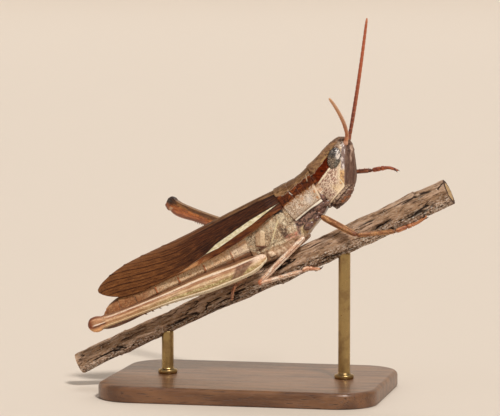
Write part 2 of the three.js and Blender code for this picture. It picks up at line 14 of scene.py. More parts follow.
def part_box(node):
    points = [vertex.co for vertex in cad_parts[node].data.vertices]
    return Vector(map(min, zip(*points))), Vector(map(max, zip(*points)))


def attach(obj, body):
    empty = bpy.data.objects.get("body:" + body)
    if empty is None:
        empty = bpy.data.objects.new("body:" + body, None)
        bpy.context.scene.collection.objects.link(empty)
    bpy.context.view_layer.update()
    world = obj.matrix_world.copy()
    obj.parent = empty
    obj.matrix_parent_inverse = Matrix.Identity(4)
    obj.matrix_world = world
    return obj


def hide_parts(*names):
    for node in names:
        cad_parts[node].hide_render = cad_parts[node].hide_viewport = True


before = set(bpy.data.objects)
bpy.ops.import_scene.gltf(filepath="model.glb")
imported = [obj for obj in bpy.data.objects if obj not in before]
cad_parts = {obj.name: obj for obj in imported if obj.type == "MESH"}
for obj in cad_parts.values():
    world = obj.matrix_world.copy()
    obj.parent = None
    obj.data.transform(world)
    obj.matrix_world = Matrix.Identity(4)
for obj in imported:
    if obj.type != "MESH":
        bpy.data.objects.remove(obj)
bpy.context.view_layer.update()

MM = 0.001
GAP = 0.04
TAU = 2 * math.pi
SIDES = {"right": -1, "left": 1}
even = np.linspace


# ---------------------------------------------------------------- number tools
def along(rows, place):
    """Values at places along a part, from a smooth curve through rows of [place, value, ...]."""
    rows = np.asarray(rows, float)
    place = np.clip(np.asarray(place, float), rows[0, 0], rows[-1, 0])
    i = np.clip(np.searchsorted(rows[:, 0], place, side="left") - 1, 0, len(rows) - 2)
    a, b = rows[i], rows[i + 1]
    before, after = rows[np.maximum(i - 1, 0)], rows[np.minimum(i + 2, len(rows) - 1)]
    span = b[..., :1] - a[..., :1]
    t = (place[..., None] - a[..., :1]) / span
    slope_a = (b - before)[..., 1:] / (b - before)[..., :1] * span
    slope_b = (after - a)[..., 1:] / (after - a)[..., :1] * span
    t2, t3 = t * t, t * t * t
    value = (2 * t3 - 3 * t2 + 1) * a[..., 1:] + (t3 - 2 * t2 + t) * slope_a
    value += (3 * t2 - 2 * t3) * b[..., 1:] + (t3 - t2) * slope_b
    return np.moveaxis(value, -1, 0)


def rounded(value, power):
    """Signed power for superellipse sections: 2 is an ellipse, more is boxier."""
    return np.sign(value) * np.abs(value) ** (2 / power)


def rounded_steps(a, b, count):
    """Numbers from a to b that crowd towards both ends."""
    return a + (b - a) * (1 - np.cos(even(0, math.pi, count))) / 2


def ramp(value, low, high):
    """A smooth step from 0 at low to 1 at high; low may be the larger."""
    t = np.clip((value - low) / (high - low), 0, 1)
    return t * t * (3 - 2 * t)


def hump(value, middle, width):
    """A bell curve: 1 at middle, and about a third at width away from it."""
    return np.exp(-(((value - middle) / width) ** 2))


def turn_angles(count):
    return even(0, TAU, count, endpoint=False)


def rough(points, scale, octaves=3, seed=0.0, stretch=(1, 1, 1)):
    """Smooth noise from about -1 to 1 at each point, the same on every run."""
    flat = np.asarray(points, float).reshape(-1, 3) * np.asarray(stretch) * scale + seed
    total = np.zeros(len(flat))
    for octave in range(octaves):
        total += [noise.noise(Vector(p)) * 0.5**octave for p in flat * 2.0**octave]
    return total.reshape(np.shape(points)[:-1])


def stacked(*values):
    """A grid of points from the values of their coordinates."""
    return np.stack(np.broadcast_arrays(*values), -1)


def mirrored(path, side):
    return [(x, side * y, z) for x, y, z in path]


def unit(vectors):
    return vectors / np.linalg.norm(vectors, axis=-1, keepdims=True)


# ---------------------------------------------------------------- frames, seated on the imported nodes
class Place:
    """A frame that climbs by pitch degrees, about an origin in millimetres."""

    def __init__(self, pitch):
        c, s = math.cos(math.radians(pitch)), math.sin(math.radians(pitch))
        self.turn = np.array([[c, 0, -s], [0, 1, 0], [s, 0, c]])
        self.origin = np.zeros(3)

    def world(self, points):
        return np.asarray(points, float) @ self.turn.T + self.origin

    def local(self, points):
        return (np.asarray(points, float) - self.origin) @ self.turn


def node_box(node):
    """The lowest and highest corners of a CAD node, in millimetres."""
    return np.array(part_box(node)) / MM


def seated(pitch, node, shape, corner):
    """The frame in which a plain shape has the same lowest (0) or highest (1) corner as the CAD node."""
    place = Place(pitch)
    points = place.world(shape).reshape(-1, 3)
    own = points.max(0) if corner else points.min(0)
    place.origin = (node_box(node)[corner] - own) * [1, 0, 1]
    return place


# ---------------------------------------------------------------- sections shared with the solids
# Rows are [x, top, bottom, half width] unless a comment says otherwise.
PRONOTUM_LENGTH = 4.29
PRONOTUM_POWER = 3.2
FRONT_LEAN = 0.23
PRONOTUM_ROWS = [
    [0, 0.04, -4.1, 1.72], [0.8, -0.08, -4.13, 1.67], [1.5, -0.24, -4.15, 1.62], [2.4, -0.42, -4.14, 1.56],
    [3.3, -0.45, -4.12, 1.5], [PRONOTUM_LENGTH, -0.38, -4.1, 1.46],
]
PROSTERNUM_ROWS = [
    [GAP, -4.14, -5.6, 1.2], [1.2, -4.14, -5.35, 1.15], [2.4, -4.14, -5.1, 1.05], [3.1, -4.14, -4.85, 0.9],
    [3.5, -4.14, -4.55, 0.7],
]
NECK_ROWS = [[3.6, -0.62, -4.0, 1.38], [4.3, -0.7, -3.98, 1.29], [5.0, -1.1, -3.6, 1.0]]
HEAD_LOW, HEAD_HIGH = -4.42, 2.64
# [height, back, front, half width]
HEAD_ROWS = [
    [HEAD_LOW, 2.9, 3.3, 0.3], [-4.2, 2.6, 3.65, 0.62], [-3.8, 2.3, 4.1, 0.98], [-3.2, 1.8, 4.56, 1.26],
    [-2.2, 1.0, 4.93, 1.42], [-1.1, 0.25, 5.05, 1.42], [-0.4, 0.05, 5.03, 1.36], [0.4, 0.84, 4.95, 1.22],
    [1.0, 1.44, 4.86, 1.08], [1.7, 2.07, 4.7, 0.84], [2.26, 2.7, 4.48, 0.56], [HEAD_HIGH, 3.22, 4.2, 0.28],
]
WING_TIP, WING_FRONT, WING_POWER = -20.85, 0.9, 2.7
WING_ROWS = [
    [WING_TIP, -1.6, -2.0, 0.55], [-20.4, -1.28, -2.45, 0.66], [-19.6, -0.98, -2.95, 0.8],
    [-18.5, -0.68, -3.4, 1.0], [-17, -0.45, -3.68, 1.3], [-14.5, -0.38, -3.68, 1.66],
    [-11, -0.36, -3.7, 2.05], [-8, -0.26, -3.58, 2.25], [-5, -0.12, -3.25, 2.32],
    [-2.8, -0.05, -2.85, 2.3], [-1, 0, -2.3, 2.15], [WING_FRONT, 0, -1.93, 1.95],
]
HINDWING_POWER, HINDWING_FOLDS = 2.5, 46
HINDWING_ROWS = [
    [-19, -1.6, -2.95, 0.36], [-17, -1.1, -2.75, 0.7], [-14, -1.0, -2.6, 1.05], [-10, -0.94, -2.5, 1.45],
    [-4.6, -0.7, -2.4, 1.7],
]
THORAX_ROWS = [
    [-4.35, -0.95, -6.04, 1.78], [-3, -0.8, -6.1, 1.86], [-1.2, -0.7, -6.06, 1.88], [0.3, -0.65, -5.82, 1.82],
    [1.8, -0.6, -5.2, 1.66], [3.2, -0.6, -4.5, 1.5],
]
ABDOMEN_ROWS = [
    [-21, -3.85, -4.78, 0.32], [-20.3, -3.5, -5.02, 0.55], [-19.2, -3.22, -5.25, 0.82],
    [-17, -2.65, -5.5, 1.15], [-14, -1.8, -5.75, 1.42], [-10, -1.3, -5.95, 1.62], [-7, -1.1, -6.02, 1.72],
    [-4.39, -1.0, -6.05, 1.74],
]
TWIG_FROM, TWIG_TO = -19.6, 22.2
# [x, radius]
TWIG_RADII = [
    [TWIG_FROM, 1.09], [-16, 1.03], [-10, 0.98], [-3, 1.05], [4, 1.2], [10, 1.32], [16, 1.36],
    [TWIG_TO, 1.34],
]
TWIG_KNOTS = [-14.5, 3.8, 18.2]


def pronotum_lean(x):
    return FRONT_LEAN * ramp(x, 1, PRONOTUM_LENGTH)


def plate(rows, xs, angles, power, lean=None, inset=0):
    """Sections across X, boxier with power. inset pulls each section in by so many millimetres."""
    x = np.asarray(xs, float)[:, None]
    top, bottom, half = along(rows, xs)[..., None]
    y = (half - inset) * rounded(np.cos(angles), power)
    z = (top + bottom) / 2 + ((top - bottom) / 2 - inset) * rounded(np.sin(angles), power)
    return stacked(x + lean(x) * z if lean else x, y, z)


def head_grid(heights, angles):
    """Level sections of the head: angle 0 is the face, and the back is boxier than the face."""
    back, front, half = along(HEAD_ROWS, heights)[..., None]
    middle = back + (front - back) * 0.45
    cos = np.cos(angles)
    power = np.where(cos > 0, 1.75, 2.9)
    reach = np.where(cos > 0, front - middle, middle - back)
    x, y = middle + reach * rounded(cos, power), half * rounded(np.sin(angles), power)
    return stacked(x, y, heights[:, None])


def wing_grid(side, xs, angles, rows=WING_ROWS, power=WING_POWER, inset=0.0):
    """One face of a folded wing, from the middle of the back (angle 0) to the lower edge (90 degrees)."""
    top, edge, half = along(rows, xs)[..., None]
    inset = np.minimum(inset, half - 0.06)
    y = GAP / 2 + (half - inset - GAP / 2) * rounded(np.sin(angles), power)
    z = edge + (top - edge - inset) * rounded(np.cos(angles), power)
    return stacked(xs[:, None], side * y, z)


def twig_radius(x, angle):
    swell = sum(0.12 * np.exp(-((x - knot) ** 2) / 0.8) for knot in TWIG_KNOTS)
    swell = swell * (0.5 + 0.5 * np.sin(angle + x))
    return along(TWIG_RADII, x)[0] + swell + 0.035 * np.cos(4 * angle + 0.16 * x)


def twig_grid(xs, angles, radius):
    return stacked(xs, radius * np.cos(angles), radius * np.sin(angles))


# Each frame is seated with the points that the solid was made from.
shield = plate(PRONOTUM_ROWS, even(0, PRONOTUM_LENGTH, 7), turn_angles(22), PRONOTUM_POWER, pronotum_lean)
fore = seated(40, "pronotum", shield, 1)
skull = seated(0, "head", head_grid(rounded_steps(HEAD_LOW, HEAD_HIGH, 14), turn_angles(20)), 1)
wing = wing_grid(1, even(WING_TIP, WING_FRONT, 15), even(0, math.pi / 2, 7))
trunk = seated(25.3, "forewing_left", wing, 0)
coarse_x, coarse_turn = even(TWIG_FROM, TWIG_TO, 19)[:, None], turn_angles(12)
bough = seated(25.7, "perch_twig", twig_grid(coarse_x, coarse_turn, twig_radius(coarse_x, coarse_turn)), 1)


def tuck(grid, shell=0.09):
    """The trunk's points with those ahead of the pronotum's hind edge drawn in under it."""
    f = fore.local(trunk.world(grid))
    top, bottom, half = along(PRONOTUM_ROWS, f[..., 0])
    level = (2 * f[..., 2] - top - bottom) / (top - bottom)
    narrowing = (1 - np.abs(np.clip(level, -0.8, 1)) ** PRONOTUM_POWER) ** (1 / PRONOTUM_POWER)
    limit = (half - shell) * narrowing - 0.16 * hump(level, -0.93, 0.14)
    width = np.abs(f[..., 1])
    f[..., 1] *= 1 - ramp(f[..., 0], -1.3, 0.1) * np.maximum(width - limit, 0) / np.maximum(width, 0.01)
    f[..., 2] -= ramp(f[..., 0], -0.05, 0.1) * np.maximum(f[..., 2] - top + shell, 0)
    return trunk.local(fore.world(f))


# ---------------------------------------------------------------- mesh pieces
def lift(grid, height, closed=True):
    """The grid with each point moved out along its own normal by height."""
    across = np.roll(grid, -1, 1) - np.roll(grid, 1, 1) if closed else np.gradient(grid, axis=1)
    normal = np.cross(np.gradient(grid, axis=0), across)
    normal /= np.maximum(np.linalg.norm(normal, axis=-1, keepdims=True), 1e-9)
    centre = grid.mean(1, keepdims=True)
    outward = np.sign(((grid - centre) * normal).sum(-1).mean())
    return grid + normal * (outward * height)[..., None]


def turned(profile, count, x=0.0):
    """Rings about the upright line at x, from pairs of radius and height."""
    angle = turn_angles(count)
    return np.stack([stacked(x + radius * np.cos(angle), radius * np.sin(angle), z) for radius, z in profile])


def shown(name, data):
    """A new object in the scene."""
    thing = bpy.data.objects.new(name, data)
    bpy.context.scene.collection.objects.link(thing)
    return thing


class Piece:
    """A mesh gathered from grids of points. Each point keeps its own place in the part for the materials."""

    def __init__(self, home):
        self.home = home
        self.points, self.places, self.shares, self.faces, self.finishes = [], [], [], [], []
        self.count = 0

    def add(self, grid, place=None, share=None, caps=(0, -1), finish=0):
        """Joins rings into a tube. caps are the rings that a fan of triangles closes."""
        rings, sides = grid.shape[:2]
        place = grid if place is None else place
        share = np.zeros_like(grid) if share is None else share
        index = self.count + np.arange(rings * sides).reshape(rings, sides)
        following = np.roll(index, -1, 1)
        quads = np.stack([index[:-1], following[:-1], following[1:], index[1:]], -1).reshape(-1, 4)
        faces = quads.tolist()
        hub = self.count + rings * sides
        for ring in caps:
            pairs = zip(following[ring], index[ring]) if ring == 0 else zip(index[ring], following[ring])
            faces += [[hub, int(a), int(b)] for a, b in pairs]
            hub += 1
        if self.inside_out(grid, quads - self.count):
            faces = [face[::-1] for face in faces]
        for source, target in ((grid, self.points), (place, self.places), (share, self.shares)):
            target += [source.reshape(-1, 3), *(source[ring].mean(0, keepdims=True) for ring in caps)]
        self.faces += faces
        self.finishes += [finish] * len(faces)
        self.count = hub

    @staticmethod
    def inside_out(grid, quads):
        p = grid.reshape(-1, 3) - grid.reshape(-1, 3).mean(0)
        a, b, c, d = (p[quads[:, k]] for k in range(4))
        return (np.cross(b - a, d - a) * (a + b + c + d)).sum() < 0

    def add_limb(self, limb, outer=1, kind=0.0, finish=0):
        self.add(limb.grid(), limb.places(outer), limb.shares(outer, kind), finish=finish)

    def make(self, name, node, slot, *materials):
        mesh = bpy.data.meshes.new(name)
        points = self.home.world(np.vstack(self.points)) * MM
        mesh.from_pydata(points.tolist(), [], self.faces)
        for attribute, values in (("place", self.places), ("share", self.shares)):
            layer = mesh.attributes.new(attribute, "FLOAT_VECTOR", "POINT")
            layer.data.foreach_set("vector", np.vstack(values).astype(np.float32).ravel())
        for material in materials:
            mesh.materials.append(material)
        mesh.polygons.foreach_set("material_index", np.array(self.finishes, np.int32))
        mesh.polygons.foreach_set("use_smooth", np.ones(len(self.faces), bool))
        mesh.validate()
        piece = shown(name, mesh)
        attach(piece, "root")
        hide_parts(node)


def smooth_line(points, count=40):
    """The line that a centripetal Catmull-Rom curve draws through points."""
    p = np.asarray(points, float)
    p = np.vstack([2 * p[0] - p[1], p, 2 * p[-1] - p[-2]])
    t = even(0, 1, count, endpoint=False)[:, None]
    out = []
    for x0, x1, x2, x3 in zip(p[:-3], p[1:-2], p[2:-1], p[3:]):
        d0, d1, d2 = (np.linalg.norm(b - a) ** 0.5 for a, b in ((x0, x1), (x1, x2), (x2, x3)))
        t1 = ((x1 - x0) / d0 - (x2 - x0) / (d0 + d1) + (x2 - x1) / d1) * d1
        t2 = ((x2 - x1) / d1 - (x3 - x1) / (d1 + d2) + (x3 - x2) / d2) * d1
        out.append((2 * t**3 - 3 * t**2 + 1) * x1 + (t**3 - 2 * t**2 + t) * t1 + (3 * t**2 - 2 * t**3) * x2
                   + (t**3 - t**2) * t2)
    return np.vstack([*out, p[-2:-1]])


class Limb:
    """A tube along a smooth line, with sections from rows of [share, half height, half thickness]."""

    def __init__(self, points, rows, rings, sides, up=(0, 0, 1), power=2.0, relief=None, round_ends=(1, 1)):
        line = smooth_line(points)
        lengths = np.concatenate([[0], np.cumsum(np.linalg.norm(np.diff(line, axis=0), axis=1))])

        def on_line(distance):
            return np.stack([np.interp(distance, lengths, line[:, k]) for k in range(3)], -1)

        length = lengths[-1]
        self.share = rounded_steps(0, 1, rings)
        self.distance = self.share * length
        self.middle = on_line(self.distance)
        step = 0.02 * length
        self.tangent = unit(on_line(self.distance + step) - on_line(self.distance - step))
        self.side = unit(np.cross(np.broadcast_to(up, self.tangent.shape), self.tangent))
        self.height = np.cross(self.tangent, self.side)
        self.angle = turn_angles(sides)
        tall, thick = along(rows, self.share)
        ends = np.ones(rings)
        for flag, gap in zip(round_ends, (self.distance, length - self.distance)):
            if flag:
                reach = np.clip(gap / (flag * 0.5 * (tall + thick)), 0, 1)
                ends *= np.sqrt(np.maximum(1 - (1 - reach) ** 2, 0.0004))
        extra = np.zeros((rings, sides))
        if relief:
            extra += relief(self.distance[:, None], self.share[:, None], self.angle)
        self.wide = (thick[:, None] + extra) * ends[:, None]
        self.tall = (tall[:, None] + extra) * ends[:, None]
        self.power = power
        self.out = rounded(np.cos(self.angle), power)
        self.high = rounded(np.sin(self.angle), power)

    def grid(self):
        across, upward = (self.wide * self.out)[..., None], (self.tall * self.high)[..., None]
        return self.middle[:, None] + across * self.side[:, None] + upward * self.height[:, None]

    def places(self, outer=1):
        return stacked(self.distance[:, None], self.tall * self.high, self.wide * self.out * outer)

    def shares(self, outer=1, kind=0.0):
        """Share of the length, how high on the section (-1 to 1), and how far to the outer side."""
        return stacked(self.share[:, None], self.high, self.out * outer + kind)

    def nearest(self, share):
        return int(np.argmin(np.abs(self.share - share)))

    def at(self, share, angle, sink=0.0):
        """A point on the surface, the direction out of it, and the direction along the limb."""
        i = self.nearest(share)
        j = int(round(angle % TAU / TAU * len(self.angle))) % len(self.angle)
        cos, sin = math.cos(angle), math.sin(angle)
        out = self.side[i] * cos + self.height[i] * sin
        point = (self.middle[i] + self.side[i] * self.wide[i, j] * rounded(cos, self.power)
                 + self.height[i] * self.tall[i, j] * rounded(sin, self.power))
        return point - out * sink, out, self.tangent[i]


def spike(piece, base, direction, length, radius, share, bend=(0, 0, 0)):
    """A small tapered spine or claw that bends as it goes."""
    direction, bend = unit(direction), np.asarray(bend)
    points = [base + direction * length * t + bend * t * t for t in (0, 0.35, 0.7, 1)]
    up = (0, 0, 1) if abs(direction[2]) < 0.8 else (1, 0, 0)
    rows = [[place, size * radius, size * radius] for place, size in ((0, 1), (0.5, 0.62), (1, 0.1))]
    cone = Limb(points, rows, up=up, rings=9, sides=8, round_ends=(0, 1)).grid()
    piece.add(cone, share=np.broadcast_to(np.array(share, float), cone.shape))


# ---------------------------------------------------------------- materials
def linear(text):
    """A colour written as six hex digits, in the renderer's linear values."""
    parts = [int(text[i:i + 2], 16) / 255 for i in (0, 2, 4)]
    return [p / 12.92 if p <= 0.04045 else ((p + 0.055) / 1.055) ** 2.4 for p in parts] + [1]


def first_node(tree, kind):
    return next(node for node in tree.nodes if node.type == kind)


class Value:
    """A number that varies over the surface. Sums, products and steps of it grow the node tree."""

    def __init__(self, paint, socket):
        self.paint, self.socket = paint, socket

    def math(self, operation, *others):
        return self.paint.math(operation, self, *others)

    def __add__(self, other):
        return self.math("ADD", other)

    def __sub__(self, other):
        return self.math("SUBTRACT", other)

    def __mul__(self, other):
        return self.math("MULTIPLY", other)

    def __rsub__(self, other):
        return self.paint.math("SUBTRACT", other, self)

    __rmul__ = __mul__

    def size(self):
        return self.math("ABSOLUTE")

    def wave(self):
        return self.math("SINE")

    def least(self, other):
        return self.math("MINIMUM", other)

    def most(self, other):
        return self.math("MAXIMUM", other)

    def step(self, low, high):
        """0 below low and 1 above high, smooth between; low may be the larger."""
        falls = low > high
        inputs = {"Value": self, "From Min": min(low, high), "From Max": max(low, high),
                  "To Min": float(falls), "To Max": float(not falls)}
        node = self.paint.node("ShaderNodeMapRange", inputs, interpolation_type="SMOOTHSTEP")
        return Value(self.paint, node.outputs["Result"])

    def within(self, low, high, soft=0.05):
        return self.step(low - soft, low + soft) * self.step(high + soft, high - soft)

    def near(self, middle, width):
        """1 at middle, falling to 0 at width away from it."""
        return (self - middle).size().step(width, 0.0)


class Paint:
    """A node material. place is the local point in millimetres, share the point's place on its own part."""

    def __init__(self, name):
        self.material = bpy.data.materials.new(name)
        self.material.use_nodes = True
        self.tree = self.material.node_tree
        self.place, self.share = self.attribute("place"), self.attribute("share")
        self.x, self.y, self.z = self.split(self.place)
        self.s, self.v, self.w = self.split(self.share)

    def node(self, kind, inputs=(), **settings):
        """A new node, with its settings, and its inputs by name or number."""
        node = self.tree.nodes.new(kind)
        for key, value in settings.items():
            setattr(node, key, value)
        for key, value in dict(inputs).items():
            self.feed(node.inputs[key], value)
        return node

    def feed(self, socket, value):
        """Links a Value or an output to the socket, or sets the socket's own number or colour."""
        if isinstance(value, Value):
            self.tree.links.new(value.socket, socket)
        elif isinstance(value, str):
            socket.default_value = linear(value)
        elif hasattr(value, "is_output"):
            self.tree.links.new(value, socket)
        else:
            socket.default_value = value

    def attribute(self, name):
        return self.node("ShaderNodeAttribute", attribute_name=name).outputs["Vector"]

    def split(self, vector):
        return [Value(self, output) for output in self.node("ShaderNodeSeparateXYZ", {0: vector}).outputs]

    def vector(self, *values):
        return self.node("ShaderNodeCombineXYZ", enumerate(values)).outputs[0]

    def math(self, operation, *values):
        return Value(self, self.node("ShaderNodeMath", enumerate(values), operation=operation).outputs[0])

    def stretched(self, stretch, source=None):
        inputs = {0: source or self.place, 1: stretch}
        return self.node("ShaderNodeVectorMath", inputs, operation="MULTIPLY").outputs[0]

    def noise(self, scale, detail=3.0, stretch=(1, 1, 1), source=None, roughness=0.55):
        """Noise about 0.5, with features about 1/scale millimetres across."""
        inputs = {"Vector": self.stretched(stretch, source), "Scale": scale, "Detail": detail,
                  "Roughness": roughness}
        return Value(self, self.node("ShaderNodeTexNoise", inputs).outputs[0])

    def ragged(self, stretch=(1, 1, 1), scale=3.0, detail=4.0, roughness=0.7):
        """Noise about 0, to make an edge uneven."""
        return self.noise(scale, detail, stretch, roughness=roughness) - 0.5

    def cells(self, scale, feature="F1", stretch=(1, 1, 1), source=None):
        """Distance from the nearest cell's middle, or to the nearest edge between cells."""
        inputs = {"Vector": self.stretched(stretch, source), "Scale": scale}
        return Value(self, self.node("ShaderNodeTexVoronoi", inputs, feature=feature).outputs["Distance"])

    def fleck(self, scale, low, high, stretch=(1, 1, 1)):
        """Patches of noise, 0 up to low and 1 from high on; low may be the larger."""
        return self.noise(scale, 3.0, stretch, roughness=0.62).step(low, high)

    def web(self, scale, width, lean=0.0, stretch=(1, 1, 1)):
        """A network of lines between wandering cells, stretched along a line that climbs lean degrees."""
        drift = self.node("ShaderNodeTexNoise", {"Vector": self.place, "Scale": scale * 0.7})
        inputs = {0: drift.outputs["Color"], 1: [1.2 / scale] * 3, 2: self.place}
        moved = self.node("ShaderNodeVectorMath", inputs, operation="MULTIPLY_ADD")
        inputs = {"Vector": moved.outputs[0], "Rotation": (0, -math.radians(lean), 0),
                  "Scale": [1 / k for k in stretch]}
        turned_cells = self.node("ShaderNodeMapping", inputs, vector_type="TEXTURE")
        return self.cells(scale, "DISTANCE_TO_EDGE", source=turned_cells.outputs[0]).step(width, 0.0)

    def mix(self, share, low, high):
        return self.node("ShaderNodeMix", {0: share, 6: low, 7: high}, data_type="RGBA").outputs[2]

    def patchy(self, low, high, *patches):
        """Two colours in patches, with the numbers that fleck takes."""
        return self.mix(self.fleck(*patches), low, high)

    def layers(self, base, *coats):
        """The base colour with each (share, colour) laid over it in turn."""
        for share, colour in coats:
            base = self.mix(share, base, colour)
        return base

    def done(self, color, roughness, height, depth, coat=0.0, metal=0.0, specular=0.5):
        """Sets the shader: depth is how far, in millimetres, a height of 1 stands out."""
        bump = self.node("ShaderNodeBump", {"Distance": depth * MM, "Height": height})
        inputs = {"Base Color": color, "Roughness": roughness, "Metallic": metal, "Coat Weight": coat,
                  "Coat Roughness": 0.2, "Specular IOR Level": specular, "Normal": bump.outputs["Normal"]}
        shader = first_node(self.tree, "BSDF_PRINCIPLED")
        for key, value in inputs.items():
            self.feed(shader.inputs[key], value)
        return self.material


def mottled(p, base, pale, dark, rust, lean=0.0, stretch=(1, 1, 1)):
    """Cuticle with fine pale and dark reticulation, and a few rusty clouds."""
    return p.layers(
        base,
        (p.fleck(1.3, 0.46, 0.6) * 0.6, pale),
        (p.fleck(7.5, 0.5, 0.59, stretch) * 0.8, pale),
        (p.web(6.5, 0.22, lean, stretch) * p.fleck(2.2, 0.38, 0.55) * 0.7, dark),
        (p.fleck(8.5, 0.46, 0.37) * 0.85, dark),
        (p.fleck(0.9, 0.54, 0.64) * 0.55, rust),
    )


def grain(p):
    """Fine grains and pits for the cuticle's bump."""
    return p.noise(14, 2.0) * 0.5 + p.noise(5, 3.0) * 0.5 + p.cells(7) * 0.35


def tan_back(p, base):
    """The brown of the crown and the pronotum's top, streaked along the body."""
    return p.layers(
        base,
        (p.fleck(5.0, 0.46, 0.62, (0.18, 1, 1)) * 0.65, "a8845c"),
        (p.fleck(8.0, 0.48, 0.36, (0.18, 1, 1)) * 0.7, "3e2616"),
        (p.fleck(1.2, 0.52, 0.62, (0.5, 1, 1)) * 0.5, "604229"),
    )


def dark_band(p, base="54260f", light="84431b", deep="2c1108"):
    """The dark red-brown of the band that runs from eye to wing."""
    lit, shaded = p.fleck(3.4, 0.5, 0.6, (0.35, 1, 1)), p.fleck(5, 0.46, 0.38, (0.35, 1, 1))
    return p.layers(base, (lit * 0.85, light), (shaded * 0.9, deep))


def pronotum_finish():
    p = Paint("cuticle_pronotum")
    ragged = p.ragged((0.7, 1, 0.6))
    z = p.z + ragged * 0.55
    above = z - (p.x.step(0.9, -0.5) * 0.6 - 1.16)
    top = above.step(-0.03, 0.05)
    band = above.step(0.04, -0.04) * (z + p.x * 0.03).step(-2.08, -1.94)
    fringe = (z + p.x * 0.03).near(-2.08, 0.32) * p.fleck(5.0, 0.46, 0.56, (1, 1, 0.4))
    low = p.z + p.x.step(1.0, 4.0) * 0.04
    lobe = p.layers(
        mottled(p, "d0b79c", "f4e6d4", "76523c", "c48e66", -20, (0.6, 1, 1.3)),
        (p.x.near(2.9, 0.9) * z.near(-3.1, 0.7) * 0.6, "e3dcd8"),
    )
    colour = p.layers(
        lobe,
        (p.x.step(3.3, 4.1) * z.within(-3.6, -2.5, 0.2) * p.fleck(2.5, 0.46, 0.56) * 0.85, "cb8444"),
        (p.x.near(1.6, 0.9) * z.within(-3.2, -2.4, 0.2) * p.fleck(3, 0.5, 0.58) * 0.6, "b5744a"),
        (top, tan_back(p, "6c4c33")),
        (p.y.near(0.0, 0.2), "3c2618"),
        (above.near(0.08, 0.12) * p.fleck(6, 0.45, 0.55, (0.4, 1, 1)) * 0.4, "b8956a"),
        (band, dark_band(p)),
        (fringe * 0.9, "94602f"),
        (p.x.near(1.42, 0.22) * z.within(-1.8, -1.12, 0.06) * 0.8, "33170c"),
        # painted glint: the small pale tick in the dark band stands for a highlight
        ((p.x - 1.42 - (p.z + 1.47) * -0.3).near(0.0, 0.08) * p.z.within(-1.66, -1.26, 0.04) * 0.8, "e8dccb"),
        ((p.x - 3.9 - (p.z + 1.1) * 0.25).near(0.0, 0.1) * z.within(-1.5, -1.0, 0.1) * 0.6, "e0ceae"),
        (p.x.step(4.02, 4.14) * z.step(-2.1, -2.5) * 0.9, "ecd8be"),
        # painted shade: a darker line in the groove just above the white rim
        (low.near(-3.66, 0.1) * 0.5, "7c5e4a"),
        (low.step(-3.68, -3.75), "fff8ea"),
        # painted shade: the lobe's underside below the white rim, as the rim's shade
        (low.step(-3.82, -3.87), "4a3026"),
    )
    specular = 0.45 - top.most(band) * 0.3
    return p.done(colour, p.noise(3) * 0.3 + 0.36, grain(p), depth=0.035, coat=0.06, specular=specular)


